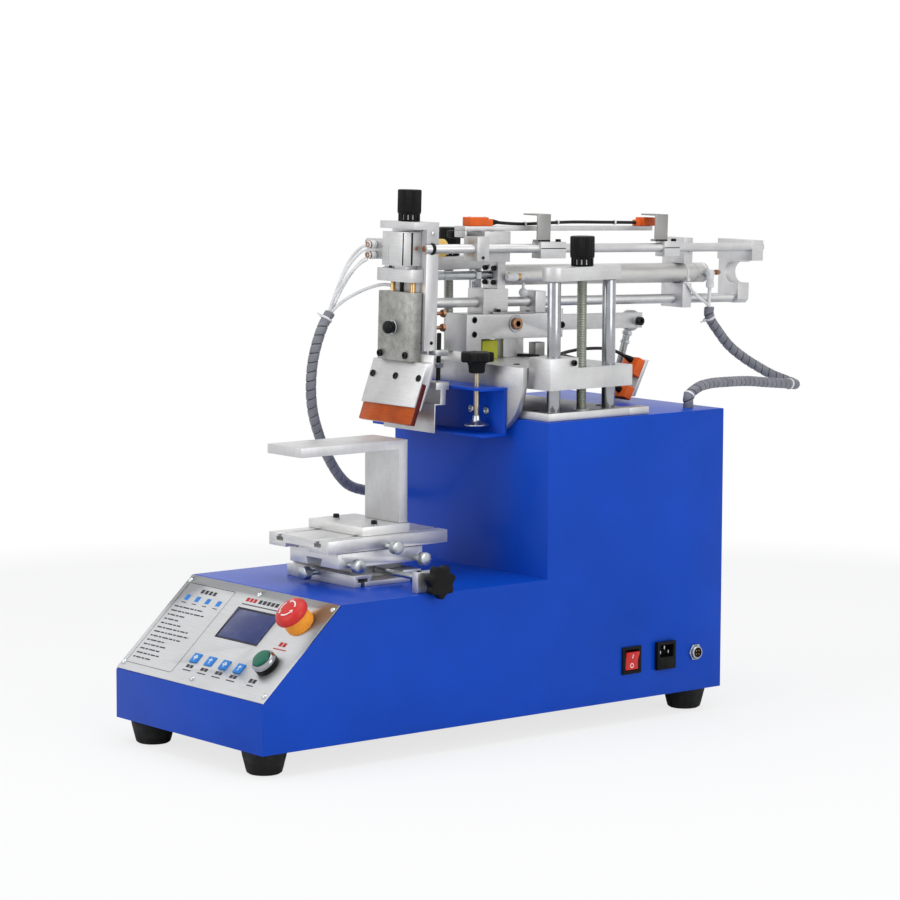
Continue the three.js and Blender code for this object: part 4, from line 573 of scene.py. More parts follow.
def finishPiece(name, bm, finishes, body, space=machineSpace, replaced=(), sharp=35,
    weld=True):
    if weld:
        bmesh.ops.remove_doubles(bm, verts=bm.verts, dist=0.0001)
    bm.transform(space)
    mesh = bpy.data.meshes.new(name)
    bm.to_mesh(mesh)
    bm.free()
    for finish in finishes:
        mesh.materials.append(finish)
    mesh.shade_smooth()
    mesh.set_sharp_from_angle(angle=math.radians(sharp))
    piece = bpy.data.objects.new(name, mesh)
    scene.collection.objects.link(piece)
    if isinstance(body, dict):
        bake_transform(piece)
    else:
        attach(piece, body)
    if replaced:
        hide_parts(*replaced)
    return piece


def standIn(node, bm, finishes, space=machineSpace, weld=True):
    # the piece that takes a CAD node's place, on its body
    name = node + "_finished"
    finishPiece(name, bm, finishes, bodyOf[node], space, (node,), weld=weld)


def soften(node, finishes, edge=0.6, segments=2, extras=None, space=machineSpace, pick=None):
    # a copy of a CAD node with its edges eased, and extras drawn in a space of the drawing.
    # pick(face centre, face normal) chooses a face's finish.
    bm = bmesh.new()
    bm.from_mesh(nodes[node].data)
    bm.transform(Matrix.Scale(1000, 4))
    bmesh.ops.remove_doubles(bm, verts=bm.verts, dist=0.001)
    bmesh.ops.dissolve_limit(bm, angle_limit=math.radians(1.2), verts=bm.verts, edges=bm.edges)
    roundEdges(bm, sharpEdges(bm, 30), edge, segments)
    for face in bm.faces:
        face.material_index = pick(face.calc_center_median(), face.normal) if pick else 0
    bm.transform(metres)
    if extras:
        more = bmesh.new()
        extras(more)
        more.transform(space)
        mergeInto(bm, more)
    standIn(node, bm, finishes, still, False)


# Hoses, first of the pieces: their routes are the model's own, in metres
rearHose = {
    "points": [
        (-0.0145, 0.3660, 0.4810), (-0.0145, 0.3665, 0.4690), (-0.0135, 0.3817, 0.4490),
        (-0.0105, 0.3987, 0.4300), (-0.0055, 0.4197, 0.4140), (0.0005, 0.4387, 0.4020),
        (0.0085, 0.4577, 0.3910), (0.0195, 0.4747, 0.3830), (0.0335, 0.4737, 0.3800),
        (0.0435, 0.4477, 0.3830), (0.0545, 0.4017, 0.3880), (0.0665, 0.3587, 0.3930),
        (0.0805, 0.3087, 0.3960), (0.0925, 0.2657, 0.3970), (0.1005, 0.2387, 0.3940),
        (0.1045, 0.2207, 0.3848), (0.1045, 0.2207, 0.3718),
    ],
    "seam": 196,
    "ties": {"upper": (14, 194), "lower": (438,)},
    "upper": {"from": "lift", "to": "rocker", "start": (0, 0, 0.392), "end": (0, 0, 0.476)},
    "lower": {"from": "cabinet", "to": "lift", "start": (0.1045, 0.2207, 0.372),
        "end": (0.05, 0.42, 0.386)},
}
frontHose = {
    "points": [
        (-0.1195, -0.1586, 0.4908), (-0.1205, -0.1698, 0.4728), (-0.1225, -0.1809, 0.4380),
        (-0.1255, -0.1826, 0.4046), (-0.1295, -0.1771, 0.3728), (-0.1355, -0.1623, 0.3400),
        (-0.1415, -0.1447, 0.3131), (-0.1475, -0.1245, 0.2899), (-0.1535, -0.1040, 0.2749),
        (-0.1605, -0.0734, 0.2654), (-0.1695, -0.0413, 0.2620), (-0.1775, -0.0163, 0.2620),
        (-0.1765, 0.0047, 0.2620), (-0.1658, 0.0157, 0.2620), (-0.1528, 0.0157, 0.2620),
    ],
    "seam": 124,
    "ties": {"upper": (9,), "lower": (378,)},
    "upper": {"from": "lift", "to": "rocker", "start": (0, 0, 0.378), "end": (0, 0, 0.484)},
    "lower": {"from": "cabinet", "to": "lift", "start": (0, 0, 0.264), "end": (0, 0, 0.367)},
}
wrap = {"radius": 6.4, "slotRadius": 5.5, "slotWidth": 1.2, "lip": 0.25, "pitch": 11.0,
    "stepsPerTurn": 20}
tie = {"width": 2.8, "over": 0.9, "under": 0.6, "head": (4.4, 3.6, 2.6), "headAt": 1.2,
    "tail": (0.9, 2.4, 6.0)}


def spiralWrap(line, near, far):
    # a flat band wound up the hose between two distances along it, its slot showing between the turns;
    # the slot floor is near black, painted shade in the gap
    part = bmesh.new()
    deep, radius, pitch, slot = (wrap[k] for k in ("slotRadius", "radius", "pitch", "slotWidth"))
    band, lip = pitch - slot, radius - wrap["lip"]
    profile = [(0, deep), (slot * 0.8, deep), (slot, lip)]
    profile += [(slot + band * share, radius) for share in (0.12, 0.37, 0.63, 0.88)]
    profile += [(pitch - 0.1, lip), (pitch, deep)]
    windUp(part, profile, pitch, wrap["stepsPerTurn"], near, far)
    bmesh.ops.recalc_face_normals(part, faces=part.faces)
    middle = (deep + lip) / 2
    # faces deep in the slot take the near-black finish: painted shade in the gap between the turns
    for face in part.faces:
        face.material_index = int(all(math.hypot(v.co.x, v.co.y) < middle for v in face.verts))
    bendAlong(part, line)
    return part


def hoseTies(name, places, bends, line):
    bm = bmesh.new()
    for far in places:
        middle, direction = line[far], (line[far + 1] - line[far]).normalized()
        outer, inner = wrap["radius"] + tie["over"], wrap["radius"] - tie["under"]
        addRing(bm, middle - direction * tie["width"] / 2, direction, outer, inner, tie["width"], 0,
            0.3, 32)
        out = direction.orthogonal().normalized()
        out = (out + Vector((0.35, -0.2, 0.5))).normalized()
        out = (out - direction * out.dot(direction)).normalized()
        turn = Matrix((direction.cross(out), direction, out)).transposed().to_4x4()
        head = middle + out * (wrap["radius"] + tie["headAt"])
        addBox(bm, head, tie["head"], turn=turn)
        addBox(bm, head + out * tie["tail"][2] * 0.5, tie["tail"], 0, 0.2, turn=turn)
    return finishPiece(name, bm, [whitePlastic], bends, metres)


def makeHose(node, setup):
    # two lengths that meet at a seam: the upper one runs on to the tilting unit, and the lower one down
    # to the cabinet
    line = alongCurve([Vector(p) * 1000 for p in setup["points"]])
    for part, near, far in (("upper", 0, setup["seam"]), ("lower", setup["seam"], len(line) - 1)):
        name, bends, finishes = f"{node}_{part}", setup[part], [hoseGrey, hoseSlotPaintedShade]
        band = spiralWrap(line, near, far)
        piece = finishPiece(name, band, finishes, bends, metres, (node,), 40, False)
        ties = hoseTies(name + "_ties", setup["ties"][part], bends, line)


def makeCord(name, points, diameter, finish, body, space=machineSpace):
    # a thin cable or air tube through points of the drawing, which goes back into the machine
    step = 1.5
    bm = bmesh.new()
    addTube(bm, points, diameter / 2, 0, 14, step)
    piece = finishPiece(name, bm, [finish], body, space)
    path = [tuple(space @ p) for p in alongCurve(points, step)]


makeHose("rear_hose", rearHose)
makeHose("front_hose", frontHose)

# White air tubes from the two hoses' ends to the fittings, and the black sensor cables
airTubes = {
    "diameter": 4.0,
    "bends": {"from": "rocker", "to": "carriage", "start": (-0.1195, -0.1586, 0.49),
        "end": (-0.088, -0.121, 0.56)},
    "front": (
        ((-88.5, 325.0, 571.0), (-97.0, 323.5, 569.0), (-108.0, 317.0, 556.0), (-114.0, 308.0, 535.0),
         (-114.0, 298.5, 512.0), (-112.5, 290.5, 494.0), (-112.2, 286.0, 486.0)),
        ((-88.5, 325.0, 556.0), (-96.0, 322.5, 552.0), (-104.0, 314.0, 538.0), (-109.5, 304.0, 520.0),
         (-111.0, 294.5, 503.0), (-111.6, 288.6, 492.0), (-111.8, 285.0, 485.0)),
        ((-64.0, 306.5, 569.0), (-65.5, 299.5, 566.0), (-75.0, 290.5, 552.0), (-89.0, 287.0, 532.0),
         (-102.0, 287.5, 513.0), (-110.0, 287.6, 497.0), (-112.0, 286.0, 487.0)),
        ((-64.0, 306.5, 556.5), (-66.0, 299.0, 552.5), (-76.0, 291.0, 540.0), (-90.0, 287.5, 524.0),
         (-102.5, 286.5, 509.0), (-109.5, 286.2, 496.0), (-111.6, 284.8, 487.0)),
        ((-52.0, 336.0, 525.0), (-64.0, 331.0, 525.5), (-76.0, 322.0, 522.0), (-89.0, 309.0, 514.0),
         (-100.0, 297.0, 504.0), (-108.0, 289.5, 494.0), (-111.4, 286.4, 486.0)),
    ),
    "rear": (
        ((-9.0, 776.0, 519.2), (-8.0, 781.0, 513.0), (-6.0, 792.0, 504.0), (-5.0, 803.0, 496.0),
         (-5.4, 810.0, 490.0), (-5.8, 812.6, 482.0)),
        ((-6.0, 770.0, 521.0), (-4.0, 778.0, 512.0), (-3.0, 790.0, 502.0), (-3.4, 803.0, 495.0),
         (-4.6, 810.6, 489.0), (-5.2, 813.4, 481.0)),
    ),
}
for i, points in enumerate(airTubes["front"]):
    makeCord(f"front_air_tube_{i + 1}", points, airTubes["diameter"], tubePlastic,
        airTubes["bends"])
for i, points in enumerate(airTubes["rear"]):
    makeCord(f"rear_air_tube_{i + 1}", points, 3.2, tubePlastic, "rocker", unitSpace)
sensorCables = {
    "diameter": 4.0,
    "rail": (
        (-22.8, 466.0, 597.0), (-21.8, 483.0, 595.8), (-20.3, 510.0, 595.0), (-20.8, 548.0, 596.2),
        (-22.8, 590.0, 597.2), (-22.3, 640.0, 597.0), (-22.8, 696.0, 596.6),
    ),
    "plate": (
        ((70, 508, 435.4), (50, 512, 436.0), (30, 527, 436.4), (18, 548, 438.4), (10, 590, 440.4),
            (8, 630, 437.6),
         (7, 648, 431.5), (6, 657.5, 426.9)),
        ((70, 515, 435.0), (48, 521, 435.4), (28, 537, 436.4), (14, 556, 433.0), (10, 600, 420.0),
            (9, 622, 402.0),
         (6, 638.6, 391.8)),
    ),
    "front": ((-48, 438, 582), (-47, 450, 584), (-43, 464, 586.5), (-38, 480, 588.5), (-35, 497, 589.6),
              (-34.4, 516, 589.8)),
    "beam": ((-44, 470, 459.5), (-44, 476, 452), (-42, 484, 444), (-36, 493, 438), (-24, 502, 435.4),
             (-8, 509, 435.2), (8, 515, 435.2)),
    "beamBends": {"from": "rocker", "to": "lift", "start": (-0.05, 0.02, 0.458),
        "end": (-0.05, 0.04, 0.441)},
}
for name, route, body, space in (
    ("rail_cable", sensorCables["rail"], "rocker", unitSpace),
    ("plate_cable_1", sensorCables["plate"][0], "lift", machineSpace),
    ("plate_cable_2", sensorCables["plate"][1], "lift", machineSpace),
    ("front_cable", sensorCables["front"], "rocker", unitSpace),
    ("beam_cable", sensorCables["beam"], sensorCables["beamBends"], machineSpace),
):
    makeCord(name, route, sensorCables["diameter"], cableBlack, body, space)
print("hoses made")


# Cabinet, feet and bottom
cabinet = {
    "rearY": 695.0,
    "screwX": (-120.0, 0.0, 120.0),
    "screwZ": (60.0, 340.0),
    "screw": [(0, 0), (0, 4.0), (1.0, 3.6), (1.9, 2.2), (2.1, 0)],
    "feet": ((-110, 28), (110, 28), (-110, 667), (110, 667)),
    "foot": [
        (0, 0), (0, 13.0), (0.5, 17.4), (2.2, 20.0), (6.0, 21.2), (14.0, 23.2), (22.0, 25.2),
        (26.4, 26.0), (27.5, 25.4), (27.7, 24.0), (27.7, 0),
    ],
}


def rearScrews(bm):
    for x in cabinet["screwX"]:
        for z in cabinet["screwZ"]:
            addTurned(bm, (x, cabinet["rearY"], z), alongY, cabinet["screw"], 1, 24)


soften("cabinet_shell", [blueCoat, zincMetal], 0.9, 3, rearScrews)
soften("bottom_plate", [greyMilledAndPaintedShade], 0.3, 1)
for count, (x, y) in enumerate(cabinet["feet"], 1):
    bm = bmesh.new()
    addTurned(bm, (x, y, 0), alongZ, cabinet["foot"], 0, 56)
    standIn(f"foot_{count}", bm, [rubberFoot])
print("cabinet made")


# Control panel, drawn as x and s, the way up the slope. Plain printed bars stand where the real
# one has words.
panel = {
    "face": 1.8,
    "ink": 0.08,
    "sunk": 0.02,
    "keyX": (-20.7, 7.9, 36.3, 64.5),
    "keyS": 38.3,
    "keyTop": 3.13,
    "screws": ((-139, 140), (139, 140), (0, 139.5), (-139, 11.3), (139, 11.3), (0, 11.3)),
    "screw": [(0, 0), (0, 3.7), (0.9, 3.7), (1.8, 3.0), (2.4, 1.9), (2.5, 1.1), (1.5, 0.9), (1.5, 0)],
    "noteBox": (-137.0, -44.0, 12.5, 136.5),
    "corner": 3,
    "noteIcons": (-120.0, -99.3, -78.5, -57.0),
    "noteAt": (-131.0, 101.0),
    "notePitch": 6.6,
    "noteLines": (58, 66, 34, 30, 40, 62, 70, 60, 36, 44, 40, 46, 34),
    "noteWords": (9.0, 5.5, 12.0, 7.0, 4.0),
    "noteGap": 1.8,
    "display": (-19.5, 62.0, 72.4, 118.0),
    "black": 1,
    "red": 2,
}


def printBar(bm, x0, x1, s0, s1, finish=panel["black"]):
    addBlock(bm, x0, x1, s0, s1, panel["face"] - panel["sunk"], panel["face"] + panel["ink"], finish, 0)


def printFrame(bm, box, half, inset):
    # four lines round a box, the level ones inset at their ends or, below zero, running past them
    x0, x1, s0, s1 = box
    upright = max(inset, 0)
    for s in (s0, s1):
        printBar(bm, x0 + inset, x1 - inset, s - half, s + half)
    for x in (x0, x1):
        printBar(bm, x - half, x + half, s0 + upright, s1 - upright)


def printNotes(bm):
    left, right, low, high = panel["noteBox"]
    corner = panel["corner"]
    printFrame(bm, panel["noteBox"], 0.3, corner)
    middles = [(x, s) for s in (low + corner, high - corner) for x in (left + corner, right - corner)]
    for (x, s), start in zip(middles, (180, 270, 90, 0)):
        for i in range(5):
            angle = math.radians(start + 9 + 18 * i)
            at = (x + corner * math.cos(angle), s + corner * math.sin(angle), panel["face"] + 0.03)
            addBox(bm, at, (0.6, 1.0, 0.1), 1, 0, turn=Matrix.Rotation(angle, 4, "Z"))
    for i in range(4):
        printBar(bm, -104 + i * 8.2, -98.4 + i * 8.2, 125.0, 130.5)
    for x in panel["noteIcons"]:
        printBar(bm, x - 4, x + 4, 111.8, 119.8, 3)
        printBar(bm, x - 4.5, x + 4.5, 107.6, 108.8)
    start, top = panel["noteAt"]
    words = panel["noteWords"]
    for i, width in enumerate(panel["noteLines"]):
        s, x, k = top - i * panel["notePitch"], start, 0
        while x < start + width:
            word = words[(i * 2 + k) % len(words)]
            printBar(bm, x, min(x + word, start + width), s - 0.9, s + 0.9)
            x += word + panel["noteGap"]
            k += 1


def printLabels(bm):
    for x0, x1 in ((-16, -10), (-8.5, -3), (-1.5, 4)):
        printBar(bm, x0, x1, 127.5, 133.0, panel["red"])
    for i in range(5):
        printBar(bm, 8.5 + i * 8.0, 14.5 + i * 8.0, 127.5, 133.0)
    printBar(bm, -18, 58, 122.6, 124.0)
    for x in panel["keyX"]:
        printBar(bm, x - 6.5, x - 0.6, 24.0, 28.4)
        printBar(bm, x + 0.6, x + 6.5, 24.0, 28.4)
        printBar(bm, x - 8.0, x + 8.0, 19.6, 20.9)
    for x in (97, 104):
        printBar(bm, x, x + 5.5, 78.6, 84.6, panel["red"])
        printBar(bm, x - 2, x + 3.5, 24.0, 29.5)
    printBar(bm, 92, 116, 73.8, 75.2, panel["red"])
    printBar(bm, 96, 108, 19.6, 20.9)


def panelDetails(bm):
    printNotes(bm)
    printLabels(bm)
    printFrame(bm, panel["display"], 0.5, -0.5)
    x0, x1, s0, s1 = panel["display"]
    addBlock(bm, x0 + 0.4, x1 - 0.4, s0 + 0.4, s1 - 0.4, 1.0, 1.12, 1, 0)
    addBlock(bm, x0 + 2.2, x1 - 2.2, s0 + 2.2, s1 - 2.2, 1.1, 1.45, 5, 0.12)
    for x, s in panel["screws"]:
        addTurned(bm, (x, s, panel["face"] - 0.3), alongZ, panel["screw"], 4, 24)


panelFinishes = [brushedPanel, printInk, redInk, blueMoulding, zincMetal, screenGlass]
soften("control_panel", panelFinishes, 0.3, 2, panelDetails, slopeSpace)

for i, x in enumerate(panel["keyX"]):
    def keyArrow(bm, x=x, crossed=i % 2 == 0):
        s, top = panel["keyS"], panel["keyTop"]
        bars = [(x, s, 1.2, 7.2, 0)]
        bars += [(x + side * 1.5, s + 2.2, 1.0, 4.0, side * 45) for side in sides]
        if crossed:
            bars.append((x, s, 7.2, 1.2, 0))
        for middle, up, wide, long, tilt in bars:
            addBox(bm, (middle, up, top), (wide, long, 0.1), 1, 0, turn=turned(tilt, "Z"))
    soften(f"panel_key_{i + 1}", [blueMoulding, whiteInk], 0.5, 3, keyArrow, slopeSpace)
print("panel made")


# Emergency stop: a domed head with ridges round its rim and three white arrows, on a ribbed collar
emergencyStop = {
    "at": (108.5, 112.0),
    "low": 19.4,
    "head": [
        (5.2, 0), (5.2, 17.0), (0.3, 17.2), (0, 17.7), (0, 19.1), (0.9, 19.9), (2.2, 20.0),
        (4.6, 20.0), (6.6, 19.6), (8.6, 18.3), (10.4, 15.8), (11.7, 11.5), (12.3, 6.5), (12.5, 0),
    ],
    "stem": 9.9,
    "arrows": (20, 140, 260),
    "sweep": 78,
    "tip": (1.0, 0.72, 0.44, 0.18),
    "tipStep": 4.5,
}


def addArc(bm, at, section, start, sweep, finish):
    # part of a turned strip, with a closed section of (height, radius) points
    part = bmesh.new()
    across, up = math.cos(math.radians(start)), math.sin(math.radians(start))
    face = part.faces.new([part.verts.new((r * across, r * up, z)) for z, r in section])
    spinRound(part, [face], 18, math.radians(sweep))
    placePart(bm, part, at, alongZ, finish)


def domeHeight(radius):
    crown = emergencyStop["head"][-4:]
    for (h1, r1), (h0, r0) in zip(crown, crown[1:]):
        if r0 <= radius <= r1:
            return h0 + (h1 - h0) * (radius - r0) / (r1 - r0)
    return crown[0][0]


def domeStrip(inner, outer, over, under=0.1):
    low, high = domeHeight(inner), domeHeight(outer)
    return [(low - under, inner), (low + over, inner), (high + over, outer), (high - under, outer)]


bm = bmesh.new()
stopX, stopS = emergencyStop["at"]
low = emergencyStop["low"]
stopAt = (stopX, stopS, low)
addTurned(bm, stopAt, alongZ, emergencyStop["head"], 0, 72)
stem = emergencyStop["stem"]
addTurned(bm, stopAt, alongZ, [(6.5 - low, 0), (6.5 - low, stem), (5.4, stem), (5.4, 0)], 0, 40)
for angle, dx, ds in ringOf(36, 19.75):
    addRound(bm, (stopX + dx, stopS + ds, low + 1.2), alongZ, 0.55, 4.0, 0, 0.2, 10)
for start in emergencyStop["arrows"]:
    addArc(bm, stopAt, domeStrip(9.6, 11.3, 0.1), start, emergencyStop["sweep"], 1)
    for step, share in enumerate(emergencyStop["tip"]):
        half = 2.55 * share
        turnBy = start + emergencyStop["sweep"] + step * emergencyStop["tipStep"]
        addArc(bm, stopAt, domeStrip(10.45 - half, 10.45 + half, 0.12), turnBy, 4.6, 1)
standIn("emergency_stop_head", bm, [redMoulding, whiteInk], slopeSpace)

bm = bmesh.new()
addRing(bm, (stopX, stopS, 2.1), alongZ, 16.5, 10.4, 17.0, 0, 0.6, 72)
for angle, dx, ds in ringOf(28, 16.2):
    addRound(bm, (stopX + dx, stopS + ds, 3.0), alongZ, 0.9, 8.5, 0, 0.35, 10)
standIn("emergency_stop_collar", bm, [amberMoulding], slopeSpace)

# Start button in its bezel
startButton = {
    "at": (107.0, 50.0),
    "base": 2.1,
    "rim": [
        (0.0, 11.4), (0.0, 14.2), (0.6, 14.7), (3.6, 14.7), (5.2, 13.9), (6.7, 12.6), (6.7, 11.9),
        (6.0, 11.4), (0.0, 11.4),
    ],
    "cap": [(3.3, 0), (3.3, 10.9), (14.6, 10.95), (15.5, 10.4), (15.9, 8.8), (16.0, 4.0), (16.02, 0)],
}
spot = (*startButton["at"], startButton["base"])
bm = bmesh.new()
addRing(bm, spot, alongZ, 14.75, 11.35, 6.4, 1, 0.5, 64)
addTurned(bm, (*startButton["at"], 8.4), alongZ, startButton["rim"], 0, 64)
standIn("start_bezel", bm, [polishedUp, blackMoulding], slopeSpace)
bm = bmesh.new()
addTurned(bm, spot, alongZ, startButton["cap"], 0, 64)
standIn("start_button", bm, [greenMoulding], slopeSpace)
print("controls made")


# Power switch, inlet and connector on the right wall
powerSide = {
    "switch": (546.7, 76.4),
    "inlet": (600.0, 77.0),
    "connector": (145.0, 651.5, 75.0),
    "pivotX": 142.5,
    "tilt": 8,
    "slant": 9.98,
    "nut": [
        (0, 0), (0, 8.4), (2.4, 8.4), (2.4, 7.9), (5.2, 7.9), (5.9, 7.3), (5.9, 6.2), (3.4, 6.0),
        (3.4, 0),
    ],
}


def switchRim(bm):
    y, z = powerSide["switch"]
    for side in sides:
        addBox(bm, (147.6, y, z + side * 14.9), (0.3, 26.4, 1.0), 0, 0.1)


def rockerMarks(bm):
    # I above and O below, on the two slopes of the rocker
    slant = powerSide["slant"]
    addBlock(bm, 5.44, 5.7, -0.65, 0.65, 3.2, 8.4, 1, 0, turn=turned(slant, "Y"))
    part = bmesh.new()
    addRing(part, (0, 0, 0), alongX, 2.9, 2.0, 0.24, 1, 0.05, 32)
    part.transform(Matrix.Translation((5.46, 0, -5.8)) @ turned(-slant, "Y"))
    joinTo(bm, part, 1)


def inletDetails(bm):
    y, z = powerSide["inlet"]
    for dy, dz in ((0, 9.0), (-6.6, 3.4), (6.6, 3.4)):
        addBox(bm, (141.0, y + dy, z + dz), (11.2, 2.0, 4.4), 1, 0.3)
    addBlock(bm, 151.1, 151.75, y - 11.2, y + 11.2, z - 14.6, z - 4.6, 0, 0.25)
    addBlock(bm, 151.7, 152.1, y - 4.0, y + 4.0, z - 13.6, z - 12.2, 0, 0.15)


soften("switch_frame", [blackMoulding], 0.7, 3, switchRim)
rockerPlace = Matrix.Translation((powerSide["pivotX"], *powerSide["switch"]))
rockerSpace = machineSpace @ rockerPlace @ turned(powerSide["tilt"], "Y")
soften("switch_rocker", [redMoulding, whiteInk], 0.5, 3, rockerMarks, rockerSpace)
soften("power_inlet", [blackMoulding, zincMetal], 0.9, 3, inletDetails)
bm = bmesh.new()
x, y, z = powerSide["connector"]
addHex(bm, (x, y, z), alongX, 10.6, 2.4)
addTurned(bm, (x, y, z), alongX, powerSide["nut"])
addRound(bm, (x + 3.3, y, z), alongX, 5.9, 0.6, 1, 0.1, 32)
for angle, dy, dz in ringOf(4, 3, 0.5):
    addRound(bm, (x + 3.6, y + dy, z + dz), alongX, 0.7, 1.9, 2, 0.2, 12)
finishPiece("side_connector", bm, [zincMetal, blackMoulding, brassMetal], "cabinet")
print("power side made")


# Slotted work table and its slides
workTable = {
    "screws": ((-38.0, 241.0, 254.2), (35.0, 241.0, 254.2)),
    "middleY": 244.0,
    "feedZ": 201.3,
    "crossZ": 212.9,
    "thumbscrews": (
        ("table_thumbscrew", (56.3, 244.0, 231.2), alongX),
        ("saddle_thumbscrew_1", (50.3, 193.0, 213.2), alongX),
        ("saddle_thumbscrew_2", (50.3, 290.0, 213.2), alongX),
        ("base_thumbscrew", (-14.0, 194.2, 197.2), againstY),
    ),
}


def topsAndSides(centre, normal):
    return 0 if abs(normal.z) > 0.7 else 1


def fixtureScrews(bm):
    for x, y, z in workTable["screws"]:
        addRound(bm, (x, y, z), alongZ, 4.6, 0.7, 1, 0.15, 28)
        addCapScrew(bm, (x, y, z + 0.6), alongZ, 3.7, 4.6, 2)


def blockScrews(bm):
    for dy in (-11.5, 11.5):
        addCapScrew(bm, (129.6, workTable["middleY"] + dy, 211.0), alongZ, 2.6, 1.2, 1)


soften("xy_base", [milledX], 0.5)
soften("x_screw_block", [milledZ, blackOxideAndPaintedShade], 0.6, 2, blockScrews)
soften("cross_slide", [greyMilledAndPaintedShade], 0.4)
# the saddle, the table's tops and the fixture base take the brighter aluminium copy as painted light;
# the table's sides keep the plain milled finish
soften("saddle", [tableMetalPaintedLight], 0.5)
soften("t_slot_table", [tableMetalPaintedLight, milledX], 0.4, pick=topsAndSides)
soften("fixture_base", [tableMetalPaintedLight, zincMetal, blackOxideAndPaintedShade], 0.4, 2, fixtureScrews)
soften("fixture_arm", [milledX, milledZ], 0.35, pick=topsAndSides)
for node, at, along in workTable["thumbscrews"]:
    # zinc screw: plain neck, and a knurled head with a flat face
    at, ahead = Vector(at), Vector(along)
    neck = [(0, 0), (0, 4.0), (0.6, 4.5), (3.9, 4.5), (4.2, 4.2), (4.2, 0)]
    face = [(0, 0), (0, 7.5), (0.45, 7.35), (0.75, 6.8), (0.8, 0)]
    bm = bmesh.new()
    addRound(bm, at - ahead * 14, along, 2.0, 15.0, 0, 0.2, 20)
    addThread(bm, at - ahead * 0.2, along, 3.4, 0.35, 1.2, 8.6)
    addTurned(bm, at + ahead * 8.2, along, neck, 0, 32)
    addLobed(bm, at + ahead * 12.2, along, 8.0, 44, 0.35, 9.2, 0, 0.5, 4)
    addTurned(bm, at + ahead * 21.2, along, face, 0, 40)
    standIn(node, bm, [zincMetal])


def addStarKnob(bm, at, along, radius, thickness, hub, hubLength):
    # lobed grip with a raised middle and a moulded ring on its face
    at, ahead = Vector(at), Vector(along)
    waist = [(0, 0), (0, hub * 0.86), (1.0, hub * 0.95), (hubLength * 0.7, hub)]
    shoulder = [(hubLength + 1.0, hub * 1.2), (hubLength + 1.0, 0)]
    addTurned(bm, at - ahead * hubLength, along, waist + shoulder, 0, 40)
    addLobed(bm, at, along, radius, 7, radius * 0.2, thickness, 0, min(2.4, thickness / 4), 12)
    addTurned(bm, at + ahead * (thickness - 0.3), along, [
        (0, 0), (0, radius * 0.62), (0.25, radius * 0.6), (0.28, radius * 0.42),
        (0.1, radius * 0.4), (0.1, 0),
    ])


bm = bmesh.new()
feedY, feedZ = workTable["middleY"], workTable["feedZ"]
addRound(bm, (-25, feedY, feedZ), alongX, 3.5, 160.0, 1, 0.3, 36)
addStarKnob(bm, (148.0, feedY, feedZ), alongX, 20.0, 11.9, 7.8, 12.8)
standIn("x_feed_knob", bm, [blackMoulding, zincMetal])
bm = bmesh.new()
addThread(bm, (3.5, 250.2, workTable["crossZ"]), alongY, 3.0, 0.3, 1.5, 62.0, 1)
addStarKnob(bm, (3.5, 312.0, workTable["crossZ"]), alongY, 13.5, 11.9, 5.8, 4.5)
standIn("y_feed_knob", bm, [blackMoulding, zincMetal])
print("work table made")


# Gantry: base plate, ground shafts and rounded top bars
gantry = {
    "half": 140.0,
    "baseY": (418.3, 545.0),
    "baseZ": (371.8, 381.5),
    "columnX": 125.0,
    "shaftY": (438.0, 524.0),
    "screwY": 481.3,
    "shaft": 8.0,
    "barZ": (535.4, 551.9),
    "barHalf": 14.2,
    "screws": ((-100, 431), (100, 431), (-100, 532), (100, 532)),
}
baseTop = gantry["baseZ"][1]
barLow, barTop = gantry["barZ"]
bm = bmesh.new()
addBlock(bm, -gantry["half"], gantry["half"], *gantry["baseY"], *gantry["baseZ"], 0, 0.7)
for side in sides:
    x = side * gantry["columnX"]
    ends = []
    for y, start in zip(gantry["shaftY"], (math.pi, 0.0)):
        addRound(bm, (x, y, baseTop - 2), alongZ, gantry["shaft"], barLow - baseTop + 4, 1, 0.4, 64)
        addTurned(bm, (x, y, barTop - 0.6), alongZ, [(0, 0), (0, 5.2), (0.5, 4.9), (0.55, 0)], 2, 32)
        for i in range(25):
            angle, reach = start + math.pi * i / 24, gantry["barHalf"]
            ends.append((x + reach * math.cos(angle), y + reach * math.sin(angle), barLow))
    addOutline(bm, ends, (0, 0, barTop - barLow), 2, 0.8)
    addRing(bm, (x, gantry["screwY"], baseTop), alongZ, 10.5, 6.6, 0.8, 0, 0.2, 40)
for x, y in gantry["screws"]:
    addCapScrew(bm, (x, y, baseTop - 0.1), alongZ, 4.4, 1.0, 3)
addBlock(bm, 124.0, 139.5, 545.3, 577.0, 371.8, 381.0)
# the top face of the base plate, under the lift plate, takes the dark grey steel finish: painted shade
bm.normal_update()
for face in bm.faces:
    if face.normal.z > 0.9 and abs(face.calc_center_median().z - baseTop) < 0.6:
        face.material_index = 4
standIn("gantry_frame", bm, [milledX, polishedUp, milledY, blackOxideAndPaintedShade, greyMilledAndPaintedShade])


